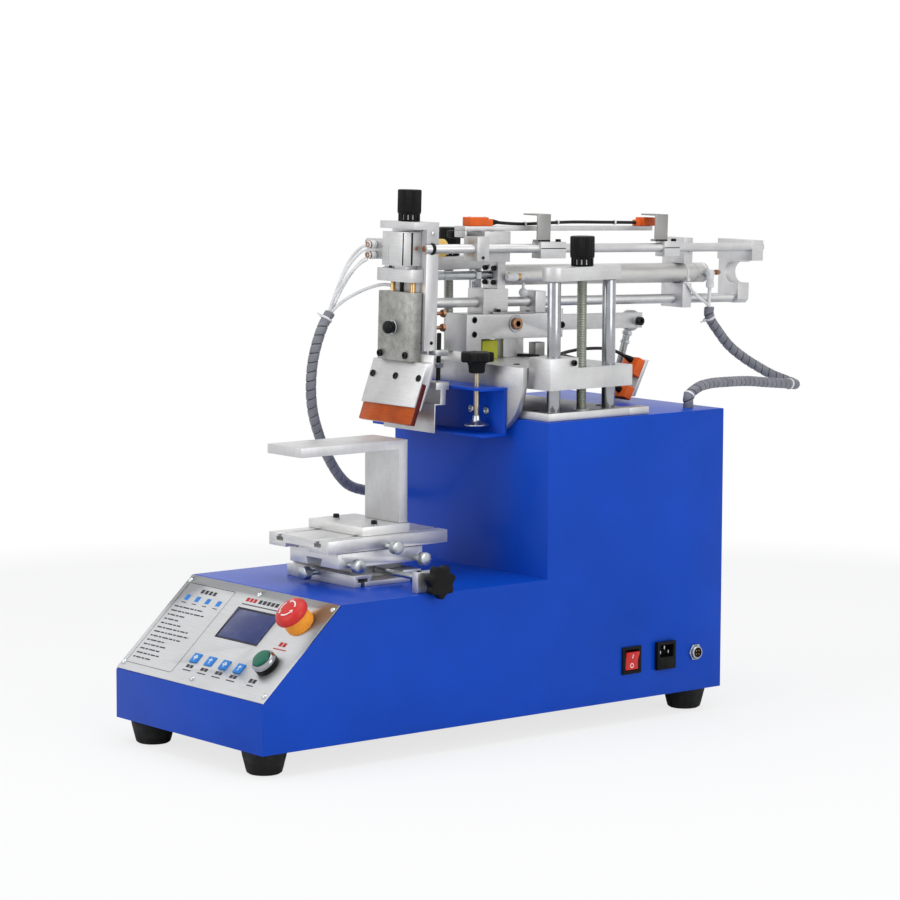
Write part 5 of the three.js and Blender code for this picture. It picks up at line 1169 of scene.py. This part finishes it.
def addCastleKnob(bm, at, radius, skirt, skirtHeight, height, black, white):
    # a knob whose lower rim is cut into teeth, each gap with a plain mark
    x, y, z = at
    addRound(bm, at, alongZ, skirt - 2.4, skirtHeight + 0.5, black, 0.3, 40)
    tall = skirtHeight + 0.4
    for angle, dx, dy in ringOf(12, skirt - 1.5):
        turn = Matrix.Rotation(angle, 4, "Z")
        addBox(bm, (x + dx, y + dy, z + tall / 2), (3.0, 4.2, tall), black, 0.35, turn=turn)
    for angle, dx, dy in ringOf(12, skirt - 2.35, 0.5):
        turn = Matrix.Rotation(angle, 4, "Z")
        addBox(bm, (x + dx, y + dy, z + 4.6), (0.6, 1.5, 6.0), white, 0, turn=turn)
    shoulder = [(0, 0), (0, radius - 1.2), (1.0, radius - 0.2), (2.0, radius - 0.2), (2.0, 0)]
    addTurned(bm, (x, y, z + skirtHeight), alongZ, shoulder, black, 60)
    grip = (x, y, z + skirtHeight + 1.5)
    addLobed(bm, grip, alongZ, radius, 30, 0.55, height - skirtHeight - 1.5, black, 1.5, 4)
    cap = [(0, 0), (0, radius * 0.66), (0.28, radius * 0.62), (0.1, radius * 0.5), (0.1, 0)]
    addTurned(bm, (x, y, z + height - 0.3), alongZ, cap, black)


for side, x in (("left", -gantry["columnX"]), ("right", gantry["columnX"])):
    bm = bmesh.new()
    addThread(bm, (x, gantry["screwY"], 374.8), alongZ, 6.0, 0.7, 2.0, 178.0, 0, 24)
    addCastleKnob(bm, (x, gantry["screwY"], 552.2), 14.5, 13.2, 9.0, 35.0, 1, 2)
    standIn(f"lift_screw_{side}", bm, [threadMetal, blackMoulding, whiteInk])
print("gantry made")


# Lift plate, apron, screen channel and its clamps
lift = {"top": 433.0, "clampScrew": (140.0, 455.8, 439.5)}


def liftDetails(bm):
    addCapScrew(bm, lift["clampScrew"], alongX, 3.6, 3.4, 1)
    addCapScrew(bm, (-140.0, 455.8, 420.0), againstX, 3.6, 1.2, 1)
    addBlock(bm, -40.0, -14.5, 444.8, 468.6, lift["top"] + 0.05, 455.6, 2, 0.9)
    addCapScrew(bm, (-27.0, 456.7, 455.2), alongZ, 2.2, 0.5, 1)
    addBlock(bm, -30.0, -17.0, 531.0, 546.0, lift["top"] + 0.05, 449.0, 3, 0.6)
    for x, y in ((-85, 436), (-85, 534), (60, 534), (60, 436)):
        addCapScrew(bm, (x, y, lift["top"] - 0.1), alongZ, 4.2, 0.9, 1)


soften("lift_plate", [milledX, blackOxideAndPaintedShade, limePlastic, greyMilledAndPaintedShade], 0.9, 2, liftDetails)
soften("apron_plate", [apronMetal], 0.8)


def channelBolts(bm):
    for x in (-66.0, 18.0, 46.0):
        addTurned(bm, (x, 400.7, 379.0), againstY, [
            (0, 0), (0, 4.8), (0.6, 4.8), (1.2, 4.0), (1.3, 2.2), (0.7, 2.0), (0.7, 0),
        ], 1, 28)


soften("screen_channel", [blueCoat, zincMetal], 0.7, 3, channelBolts)

screenClamp = {"y": 383.5, "knobZ": 438.0, "knob": (20.4, 11.9, 10.12, 13.0), "padZ": 362.0}
for side, x in (("left", -97.0), ("right", 49.0)):
    bm = bmesh.new()
    y = screenClamp["y"]
    addStarKnob(bm, (x, y, screenClamp["knobZ"]), alongZ, *screenClamp["knob"])
    addRound(bm, (x, y, 368), alongZ, 2.9, 60, 1, 0.2, 28)
    addThread(bm, (x, y, 384.0), alongZ, 3.4, 0.18, 1.5, 42.0, 1, 20)
    addTurned(bm, (x, y, screenClamp["padZ"]), alongZ, [
        (0, 0), (0, 12.8), (0.6, 14.2), (1.4, 14.5), (2.0, 14.2), (3.0, 11.0), (4.6, 7.6),
        (6.4, 5.6), (8.2, 4.8), (12.4, 4.3), (12.8, 0),
    ], 2, 56)
    standIn(f"screen_clamp_{side}", bm, [blackMoulding, stemMetal, zincMetal])
print("lift made")


# Pivot upright and the tilting unit on it, whose pieces are drawn level and turned with the unit
unit = {"x": -27.0, "cylinderZ": 533.0}


def pivotScrew(bm):
    y, z = drawing["pivot"]
    addRing(bm, (-6.2, y, z), alongX, 10.6, 4.0, 0.9, 1, 0.25, 40)
    addCapScrew(bm, (-5.4, y, z), alongX, 7.2, 3.4, 2, 32)


soften("pivot_upright", [milledZ, polishedUp, copperMetal], 0.5, 2, pivotScrew)


def beamDetails(bm):
    for y, z in ((425.3, 480.2), (425.6, 462.8)):
        addRing(bm, (-6.55, y, z), alongX, 4.6, 3.9, 0.3, 0, 0.05, 32)
        addCapScrew(bm, (-6.8, y, z), alongX, 3.9, 0.9, 1)
    addCapScrew(bm, (-6.6, 561.0, 472.3), alongX, 4.2, 6.0, 1)
    addRing(bm, (-11.5, *drawing["linkRing"]), alongX, 7.0, 4.0, 1.0, 3, 0.2, 40)
    addCapScrew(bm, (-10.6, *drawing["linkRing"]), alongX, 5.4, 5.2, 1, 28)
    addBlock(bm, -11.6, -5.9, 454.0, 519.0, 486.75, 489.2, 2, 0.3)
    addCapScrew(bm, (-8.8, 464.5, 489.1), alongZ, 2.6, 3.6, 1)
    addCapScrew(bm, (-8.8, 511.0, 489.1), alongZ, 2.6, 1.2, 1)


soften("rocker_beam", [milledY, blackOxideAndPaintedShade, greyMilledAndPaintedShade, zincMetal], 0.6, 2, beamDetails, unitSpace)


def frontFrameDetails(bm):
    for dx in (-8.2, 8.2):
        for dz in (-8.6, 8.6):
            addCapScrew(bm, (unit["x"] + dx, 465.0, unit["cylinderZ"] + dz), againstY, 3.1, 4.0, 1)
    addBlock(bm, -53.0, -41.1, 416.0, 440.0, 577.0, 586.4, 2, 2.2, 4)
    addCapScrew(bm, (-8.0, 450.0, 586.6), alongZ, 2.8, 0.8, 1)
    addCapScrew(bm, (13.9, 419.0, 556.0), alongX, 2.0, 0.8, 1)


soften("front_frame", [milledY, blackOxideAndPaintedShade, blackMoulding], 0.6, 2, frontFrameDetails, unitSpace)
soften("rear_bearing", [milledZ])


rearFrame = {"x": (-47.0, -6.5), "frontY": 765.0, "depth": 15.0, "z": (490.0, 578.0), "notch": 12.6}
(leftX, rightX), (lowZ, highZ), notch = rearFrame["x"], rearFrame["z"], rearFrame["notch"]
outline = [(leftX, highZ), (leftX, lowZ), (rightX, lowZ), (rightX, unit["cylinderZ"] - notch)]
for i in reversed(range(25)):
    angle = math.radians(90 + 7.5 * i)
    outline.append((unit["x"] + notch * math.cos(angle), unit["cylinderZ"] + notch * math.sin(angle)))
outline += [(rightX, unit["cylinderZ"] + notch), (rightX, highZ)]
bm = bmesh.new()
addOutline(bm, [(x, rearFrame["frontY"], z) for x, z in outline], (0, rearFrame["depth"], 0), 0, 0.6)
addCapScrew(bm, (rightX - 0.1, 772.5, 562.0), alongX, 2.2, 0.7, 1)
standIn("rear_frame", bm, [milledZ, blackOxideAndPaintedShade], unitSpace)

bm = bmesh.new()
x, z = unit["x"], unit["cylinderZ"]
addTurned(bm, (x, 477.3, z), alongY, [
    (0, 5.6), (0, 11.6), (0.8, 12.4), (19.0, 12.5), (19.6, 12.0), (20.6, 12.0), (21.2, 12.5),
    (318.0, 12.5), (318.6, 11.7),
    (320.2, 11.7), (320.8, 12.5), (334.0, 12.5), (334.6, 11.9), (335.8, 11.9), (336.4, 12.5),
    (340.0, 12.5), (340.7, 11.8),
    (340.7, 0), (124.0, 0), (124.0, 5.6), (0, 5.6),
], 0, 72)
addRing(bm, (x, 779.5, z), alongY, 13.0, 12.4, 3.4, 1, 0.15, 56)
addBlock(bm, x + 10.5, x + 14.0, 779.0, 783.6, z - 10.2, z - 6.0, 1, 0.4)
addRound(bm, (-15.2, 486.0, z - 1.6), alongX, 4.9, 6.4, 1, 0.5, 28)
addHex(bm, (-15.0, 486.0, z - 1.6), alongX, 5.6, 2.6, 5)
addTurned(bm, (-7.0, 474.5, z - 1.6), alongY, [
    (0, 0), (0, 3.4), (1.6, 4.2), (8.0, 4.7), (15.5, 4.7), (16.6, 3.8), (20.5, 3.8), (21.0, 4.4),
    (25.5, 4.4), (26.4, 3.0), (26.4, 0),
], 1, 36)
addRing(bm, (-7.0, 490.4, z - 1.6), alongY, 4.9, 3.0, 3.8, 2, 0.3, 36)
addRound(bm, (-7.0, 500.4, z - 1.6), alongY, 1.9, 9.0, 3, 0.3, 20)
addHex(bm, (-15.2, 812.0, z), alongX, 5.8, 3.4, 4)
addRound(bm, (-12.2, 812.0, z), alongX, 4.4, 9.2, 1, 1.2, 36)
addTurned(bm, (-7.0, 812.0, z + 4.2), againstZ, [
    (0, 0), (0, 4.0), (1.0, 4.9), (12.0, 4.9), (12.8, 4.2), (14.6, 4.2), (15.2, 5.2), (22.0, 5.2),
    (22.6, 4.4), (22.6, 0),
], 1, 36)
addTurned(bm, (-7.0, 815.5, z + 1.0), alongY, [
    (0, 0), (0, 3.2), (2.6, 3.2), (3.0, 2.2), (5.4, 2.2), (5.8, 3.4), (9.4, 3.4), (10.0, 2.4),
    (12.6, 2.2), (13.2, 0),
], 5, 28)
addTube(bm, [(-7, 812, 516), (-7.6, 812.2, 505), (-8.0, 812.0, 492), (-8.2, 811.8, 487.6)], 2.4, 3)
addRound(bm, (-20.0, 512.0, 514.0), alongZ, 1.8, 9.4, 1, 0.2, 20)
addTurned(bm, (-20.0, 512.0, 506.1), alongZ, [
    (0, 0), (0.5, 2.3), (2.0, 4.2), (4.0, 5.3), (5.5, 5.5), (7.0, 5.3), (9.0, 4.2), (10.5, 2.3),
    (11.0, 0),
], 3, 32)
cylinderFinishes = [barrelMetal, whitePlastic, brassMetal, tubePlastic, zincMetal, copperMetal]
standIn("print_cylinder", bm, cylinderFinishes, unitSpace)

sensors = {"railTop": 592.5, "x": (-30.5, -15.0), "front": (422.0, 457.0), "rear": (697.0, 722.0)}


def railDetails(bm):
    x0, x1 = sensors["x"]
    top = sensors["railTop"] + 0.1
    y0, y1 = sensors["front"]
    addBlock(bm, x0, x1, y0, y1 - 6, top, top + 10.6, 1, 0.9, 3)
    addBlock(bm, x0 + 1.5, x1 - 1.5, y1 - 7, y1 + 2, top, top + 8.0, 1, 0.9, 3)
    addTurned(bm, ((x0 + x1) / 2, y1 + 1.8, top + 4.4), alongY,
        [(0, 0), (0, 4.0), (5, 3.7), (9, 2.7), (12, 2.2), (12, 0)], 2, 28)
    addCapScrew(bm, ((x0 + x1) / 2 - 3.4, y0 + 7, top + 10.5), alongZ, 1.8, 0.8, 4)
    addCapScrew(bm, ((x0 + x1) / 2 + 3.4, y0 + 26, top + 10.5), alongZ, 1.8, 0.8, 4)
    y0r, y1r = sensors["rear"]
    addBlock(bm, x0, x1, y0r + 5, y1r, top, top + 10.6, 1, 0.9, 3)
    addBlock(bm, x0 + 2, x1 - 2, y0r - 2, y0r + 6, top, top + 7.6, 1, 0.9, 3)
    addBlock(bm, x0 + 3, x1 - 3, y1r - 0.2, y1r + 0.5, top + 3, top + 8, 2, 0.2)
    middle = (x0 + x1) / 2
    for dx, y, up in ((2.2, 512.0, 2.4), (0.4, 566.0, 4.4), (0.4, 660.0, 4.4)):
        addRing(bm, (middle + dx, y - 1.2, top + up), alongY, 3.0, 1.6, 2.4, 5, 0.2, 20)
    addBlock(bm, -33.0, -13.0, 412.2, 416.0, 579.0, 587.0, 0, 0.4)


soften(
    "sensor_rail", [milledY, orangeMoulding, blackMoulding, cableBlack, zincMetal, whitePlastic],
    0.5, 2, railDetails, unitSpace,
)
print("tilting unit made")


# Pieces carried by the two rods: head plate, clamp blocks and rear crossbar
rods = {
    "high": (4.0, 566.5, 5.5, 337.0),
    "couplerY": 358.3, "bumper": (-27.0, 566.0, 11.0, 358.2),
    "clampBlocks": ((511.0, 551.0, 541.0), (714.0, 740.0, 732.0)),
    "flags": ((508.0, 529.0), (701.0, 722.0)),
}


def headDetails(bm):
    addHex(bm, (rods["high"][0], 340.3, rods["high"][1]), againstY, 4.0, 0.4, 2)
    for x, z in ((-54, 455.0), (-3.5, 455.0), (-54, 590), (-4.0, 590)):
        addRound(bm, (x, 339.8, z), againstY, 2.4, 0.25, 1, 0.05, 20)
    for z in (490.0, 473.0):
        addRound(bm, (3.4, 358.0, z), alongY, 2.2, 9.5, 3, 0.2, 20)
        addTurned(bm, (3.4, 366.5, z), alongY, [(0, 0), (0, 4.4), (2.4, 5.0), (3.6, 4.6), (3.6, 0)],
            3, 28)
    addCapScrew(bm, (5.1, 350.0, 455.0), alongX, 2.2, 0.6, 1)
    addTurned(bm, (4.9, 348.8, 585.0), alongX, [(0, 0), (0, 2.8), (1.2, 2.8), (1.5, 2.3), (1.5, 0)],
        2, 24)


soften("head_plate", [milledZ, blackOxideAndPaintedShade, zincMetal, copperMetal], 0.6, 2, headDetails, unitSpace)


def carriageDetails(bm):
    x, z, radius, y0 = rods["high"]
    addRing(bm, (x, 346.0, z), alongY, radius + 1.6, radius, 4.0, 1, 0.3, 40)
    addRound(bm, (x, y0 - 0.1, z), againstY, 3.8, 0.9, 3, 0.25, 28)
    for y0, y1, screw in rods["clampBlocks"]:
        addBlock(bm, 12.3, 12.75, y0 + 0.4, y1 - 0.4, z - 0.5, z + 0.6, 1, 0.05)
        addCapScrew(bm, (9.0, screw, 574.4), alongZ, 3.4, 3.4, 1)
    for y0, y1 in rods["flags"]:
        addBlock(bm, 0.0, 8.6, y0, y1, 574.4, 577.0, 4, 0.3)
        addBlock(bm, 6.6, 8.6, y0, y1, 574.6, 608.0, 4, 0.4)
        addBlock(bm, -19.0, 8.4, y0, y1, 606.2, 608.0, 4, 0.4)


soften(
    "carriage_frame", [milledY, blackOxideAndPaintedShade, polishedAlong, copperMetal, greyMilledAndPaintedShade],
    0.6, 2, carriageDetails, unitSpace,
)

bm = bmesh.new()
x, z = unit["x"], unit["cylinderZ"]
addRound(bm, (x, 436, z), alongY, 5.0, 161.0, 0, 0.2, 48)
addTurned(bm, (x, rods["couplerY"], z), alongY, [
    (0, 0), (0, 6.8), (4.0, 6.8), (4.6, 5.5), (30.0, 5.5), (30.3, 5.0), (33.0, 5.0), (33.3, 5.5),
    (79.4, 5.5), (79.6, 0),
], 1, 48)
addHex(bm, (x, 438.2, z), alongY, 8.0, 7.6, 1)
standIn("piston_rod", bm, [polishedAlong, zincMetal], unitSpace)

bm = bmesh.new()
x, z, radius, y0 = rods["bumper"]
addTurned(bm, (x, y0, z), alongY, [
    (0, 0), (0, radius * 0.7), (3.0, radius * 0.72), (3.0, radius - 1), (4.0, radius),
    (31.5, radius), (33.4, radius - 1.5), (33.4, 5.2),
    (33.0, 5.0), (33.0, 0),
], 0, 56)
addTurned(bm, (x, y0 + 32.6, z), alongY, [(0, 0), (0, 4.4), (3.6, 4.4), (4.0, 3.9), (8.4, 3.6),
    (8.8, 0)], 1, 28)
finishPiece("stroke_bumper", bm, [yellowRubber, blackOxideAndPaintedShade], "carriage", unitSpace)

bm = bmesh.new()
addCastleKnob(bm, (unit["x"], 337.5, 598.3), 14.2, 12.9, 8.5, 37.4, 0, 1)
addRound(bm, (unit["x"], 337.5, 589.5), alongZ, 3.9, 10.0, 2, 0.3, 28)
standIn("head_knob", bm, [blackMoulding, whiteInk, zincMetal], unitSpace)


def addPushFitting(bm, at, along, barrel, cap, bands):
    # a white push-in fitting, with bands of (distance, outer radius, inner radius, width)
    end = barrel + cap
    addTurned(bm, at, along, [
        (0, 0), (0, 4.6), (1.0, 4.9), (barrel, 4.9), (barrel + 0.6, 4.2), (end, 4.2), (end + 0.4, 2.4),
        (end + 0.4, 0),
    ], 1, 32)
    for far, outer, inner, width in bands:
        addRing(bm, Vector(at) + Vector(along) * far, along, outer, inner, width, 5, 0.1, 28)


def compactDetails(bm):
    # fittings on the valve block and the small marks of the compact cylinder, with two dark strips on
    # its side that are painted shade where it has grooves
    for z in (571.0, 556.0):
        bands = ((6.0, 4.5, 4.0, 1.6), (8.8, 3.0, 2.1, 0.9))
        addPushFitting(bm, (-81.2, 325.0, z), againstX, 5.2, 3.4, bands)
    for z in (569.0, 556.5):
        bands = ((7.3, 4.5, 4.0, 1.8), (10.5, 3.2, 2.1, 0.9))
        addPushFitting(bm, (-64.0, 315.9, z), againstY, 6.4, 3.8, bands)
    addHex(bm, (-41.9, 325.0, 571.0), againstX, 5.6, 3.0, 4)
    # two near-black strips stand where the body's side has grooves: painted shade
    for y0, y1 in ((311.0, 312.8), (324.0, 326.8)):
        addBlock(bm, -5.6, -4.85, y0, y1, 546.8, 585.2, 2, 0.08)
    addBlock(bm, -31.0, -29.6, 309.85, 310.5, 546.8, 585.2, 4, 0.08)
    addRound(bm, (-5.0, 331.5, 567.0), alongX, 2.4, 0.6, 5, 0.2, 24)
    addRing(bm, (-56.6, 331.0, 541.7), alongZ, 6.4, 3.0, 0.9, 4, 0.2, 36)
    addHex(bm, (-56.6, 331.0, 542.5), alongZ, 5.0, 3.4, 4)


soften(
    "squeegee_cylinder", [milledX, whitePlastic, blackOxideAndPaintedShade, blueMoulding, zincMetal, copperMetal],
    0.6, 2, compactDetails, unitSpace,
)


def slideDetails(bm):
    addRing(bm, (-35.0, 322.9, 472.0), againstY, 8.8, 4.6, 1.8, 1, 0.5, 48)
    addTurned(bm, (-35.0, 322.8, 472.0), againstY, [
        (0, 0), (0, 4.4), (1.6, 4.6), (2.4, 6.2), (4.4, 7.5), (7.0, 7.9), (9.6, 7.4), (11.6, 5.6),
        (12.6, 3.2), (12.9, 0),
    ], 2, 44)
    for x in (-58.0, -9.5):
        addCapScrew(bm, (x, 323.2, 440.0), againstY, 4.2, 3.0, 2)
    addRound(bm, (-27.0, 329.0, 514.0), alongZ, 2.6, 24.0, 2, 0.2, 24)


def pinsAboveSlide(centre, normal):
    return 3 if centre.z > 520.5 else 0


soften(
    "squeegee_slide", [mottledPlate, zincMetal, blackOxideAndPaintedShade, brassMetal],
    0.9, 2, slideDetails, unitSpace, pinsAboveSlide,
)

leanAngle = math.radians(18.6)
squeegeeLean = {
    "x": (-71.0, -27.0, 17.0), "faceY": 328.2 - 17 * math.sin(leanAngle),
    "screwZ": 430.8 - 17 * math.cos(leanAngle),
    "out": (0, -math.cos(leanAngle), math.sin(leanAngle)),
}


def clampDetails(bm):
    # screws that stand almost flush in the leaning face
    for x in squeegeeLean["x"]:
        addCapScrew(bm, (x, squeegeeLean["faceY"], squeegeeLean["screwZ"]), squeegeeLean["out"],
            4.2, 1.4, 1)


soften("squeegee_clamp", [milledX, blackOxideAndPaintedShade], 0.8, 2, clampDetails, unitSpace)


# the blade's end faces take the darker urethane copy: painted shade on the ends
def bladeEnds(centre, normal):
    return 1 if abs(normal.x) > 0.7 else 0


soften("squeegee_blade", [bladeOrange, bladeEndPaintedShade], 0.5, pick=bladeEnds)


def floodDetails(bm):
    addHex(bm, (5.0, 361.9, 426.0), alongZ, 6.4, 5.4, 2)
    addThread(bm, (5.0, 361.9, 411.0), alongZ, 2.9, 0.35, 1.1, 55.0, 1, 16)


def stopScrewFaces(centre, normal):
    return 1 if centre.z > 414.5 and centre.x > -6 else 0


soften("flood_bar", [milledX, blackOxideAndPaintedShade, zincMetal], 0.5, 2, floodDetails, unitSpace, stopScrewFaces)
print("head made")


# Tilt actuator under the beam
actuator = {
    "plateTop": (680.0, 422.0), "lean": 27.4, "sensorX": (-8.5, 19.6), "thick": 11.0,
    "sensors": ((1.0, 24.0), (38.5, 55.0)), "boots": (5.5, 46.0), "bootX": 6.0,
}
plateLean = math.radians(actuator["lean"])
downPlate = Vector((0, -math.sin(plateLean), -math.cos(plateLean)))
offPlate = Vector((0, -math.cos(plateLean), math.sin(plateLean)))


def onPlate(x, down, off):
    return Vector((x, *actuator["plateTop"])) + downPlate * down + offPlate * off


def sensorPlateDetails(bm):
    # two sensors on the face of the leaning plate, each with a boot for its cable
    x0, x1 = actuator["sensorX"]
    half = actuator["thick"] / 2
    turn = Matrix.Rotation(-plateLean, 4, "X")
    for top, bottom in actuator["sensors"]:
        middle = onPlate((x0 + x1) / 2, (top + bottom) / 2, half)
        tall = (bottom - top) / 2
        addBlock(
            bm, x0, x1, middle.y - half, middle.y + half, middle.z - tall, middle.z + tall, 1, 0.9,
            3, turn,
        )
        screw = onPlate((x0 + x1) / 2 - 8, (top + bottom) / 2, actuator["thick"] - 0.1)
        addCapScrew(bm, screw, offPlate, 1.9, 0.6, 2)
    for down in actuator["boots"]:
        boot = onPlate(actuator["bootX"], down, actuator["thick"] - 0.5)
        addTurned(bm, boot, offPlate, [(0, 0), (0, 4.2), (4, 3.9), (9, 2.9), (12, 2.4), (12, 0)], 3, 28)
    for y, z in ((553.4, 417.5), (553.4, 401.0)):
        for x in (-38.0, -16.0):
            addCapScrew(bm, (x, y - 0.1, z), alongY, 2.6, 2.4, 2)


soften(
    "actuator_bracket", [milledY, orangeMoulding, blackOxideAndPaintedShade, blackMoulding],
    0.5, 2, sensorPlateDetails,
)


def actuatorRings(bm):
    addRing(bm, (0, 0, -58.2), alongZ, 9.6, 4.8, 1.0, 1, 0.2, 48)
    addRing(bm, (0, 0, -63.4), alongZ, 12.3, 11.6, 0.7, 1, 0.1, 56)
    addRing(bm, (0, 0, -86.8), alongZ, 12.3, 11.6, 0.7, 1, 0.1, 56)


def rodEndDetails(bm):
    addRing(bm, (-4.9, 0, 0), alongX, 9.2, 5.2, 9.8, 1, 0.4, 56)
    addHex(bm, (0, 0, -19.0), alongZ, 6.6, 4.6, 2)
    addHex(bm, (0, 0, -30.0), alongZ, 6.2, 3.8, 2)


soften("actuator_body", [barrelMetal, blackOxideAndPaintedShade], 0.5, 2, actuatorRings, actuatorSpace)
soften("actuator_rod", [polishedAlong, brassMetal, zincMetal], 0.4, 2, rodEndDetails, actuatorSpace)

# Pale floor, plain background and soft lamps
studio = {
    "floor": (0.86, 0.87, 0.88), "around": 0.5, "size": 14.0, "fade": (0.55, 1.6), "seen": 0.75,
    "lamps": (
        ("overhead_lamp", (0.2, -0.2, 2.4), 2.2, 24.0),
        ("left_lamp", (-0.4, -2.4, 1.3), 1.5, 14.0),
        ("right_lamp", (2.6, 0.1, 1.2), 1.5, 20.0),
    ),
    "target": (0.0, 0.0, 0.3),
}


def aimedLamp(name, place, size, power):
    lamp = bpy.data.lights.new(name, "AREA")
    lamp.energy = power
    lamp.size = size
    holder = bpy.data.objects.new(name, lamp)
    scene.collection.objects.link(holder)
    aim = Vector(studio["target"]) - Vector(place)
    holder.matrix_world = Matrix.Translation(place) @ aim.to_track_quat("-Z", "Y").to_matrix().to_4x4()


def whiteSeenBy(tree, shader, output):
    # white to the camera and in reflections, the given shader for everything else
    rays = addNode(tree, "LightPath")
    first, second = (addNode(tree, "Math", operation="MAXIMUM") for i in range(2))
    white = addNode(tree, "Background", {"Color": (1, 1, 1, 1), "Strength": 1.0})
    mix = addNode(tree, "MixShader")
    for source, target in (
        (rays.outputs["Is Camera Ray"], first.inputs[0]),
        (rays.outputs["Is Glossy Ray"], first.inputs[1]),
        (first.outputs[0], second.inputs[0]),
        (rays.outputs["Is Transmission Ray"], second.inputs[1]),
        (second.outputs[0], mix.inputs[0]),
        (shader.outputs[0], mix.inputs[1]),
        (white.outputs[0], mix.inputs[2]),
        (mix.outputs[0], output.inputs["Surface"]),
    ):
        tree.links.new(source, target)


world = bpy.data.worlds.new("studio_air")
scene.world = world
world.use_nodes = True
air = world.node_tree
soft = air.nodes["Background"]
soft.inputs["Color"].default_value = (1, 1, 1, 1)
soft.inputs["Strength"].default_value = studio["around"]
whiteSeenBy(air, soft, air.nodes["World Output"])
for lampName, place, size, power in studio["lamps"]:
    aimedLamp(lampName, place, size, power)


def floorMaterial():
    material = bpy.data.materials.new("studio_floor")
    material.use_nodes = True
    tree = material.node_tree
    shader = tree.nodes["Principled BSDF"]
    shader.inputs["Roughness"].default_value = 0.9
    place = tree.nodes.new("ShaderNodeTexCoord")
    grain = tree.nodes.new("ShaderNodeTexNoise")
    grain.inputs["Scale"].default_value = 40
    tones = tree.nodes.new("ShaderNodeValToRGB")
    r, g, b = studio["floor"]
    tones.color_ramp.elements[0].color = (r * 0.99, g * 0.99, b * 0.99, 1)
    tones.color_ramp.elements[1].color = (r, g, b, 1)
    distance = tree.nodes.new("ShaderNodeVectorMath")
    distance.operation = "LENGTH"
    fade = tree.nodes.new("ShaderNodeMapRange")
    fade.inputs["From Min"].default_value, fade.inputs["From Max"].default_value = studio["fade"]
    rays = tree.nodes.new("ShaderNodeLightPath")
    seen = tree.nodes.new("ShaderNodeMath")
    seen.operation = "MULTIPLY"
    seen.inputs[1].default_value = studio["seen"]
    share = tree.nodes.new("ShaderNodeMath")
    share.operation = "MAXIMUM"
    white = tree.nodes.new("ShaderNodeEmission")
    white.inputs["Color"].default_value = (1, 1, 1, 1)
    white.inputs["Strength"].default_value = 1.0
    mix = tree.nodes.new("ShaderNodeMixShader")
    link = tree.links.new
    link(place.outputs["Object"], grain.inputs["Vector"])
    link(grain.outputs["Fac"], tones.inputs["Fac"])
    link(tones.outputs["Color"], shader.inputs["Base Color"])
    link(place.outputs["Object"], distance.inputs[0])
    link(distance.outputs["Value"], fade.inputs["Value"])
    link(rays.outputs["Is Camera Ray"], seen.inputs[0])
    link(fade.outputs["Result"], share.inputs[0])
    link(seen.outputs[0], share.inputs[1])
    link(share.outputs[0], mix.inputs[0])
    link(shader.outputs[0], mix.inputs[1])
    link(white.outputs[0], mix.inputs[2])
    link(mix.outputs[0], tree.nodes["Material Output"].inputs["Surface"])
    return material


bm = bmesh.new()
bmesh.ops.create_grid(bm, x_segments=8, y_segments=8, size=studio["size"])
floorMesh = bpy.data.meshes.new("studio_floor")
bm.to_mesh(floorMesh)
bm.free()
floorMesh.materials.append(floorMaterial())
floor = bpy.data.objects.new("studio_floor", floorMesh)
scene.collection.objects.link(floor)
print("floor and lamps made")
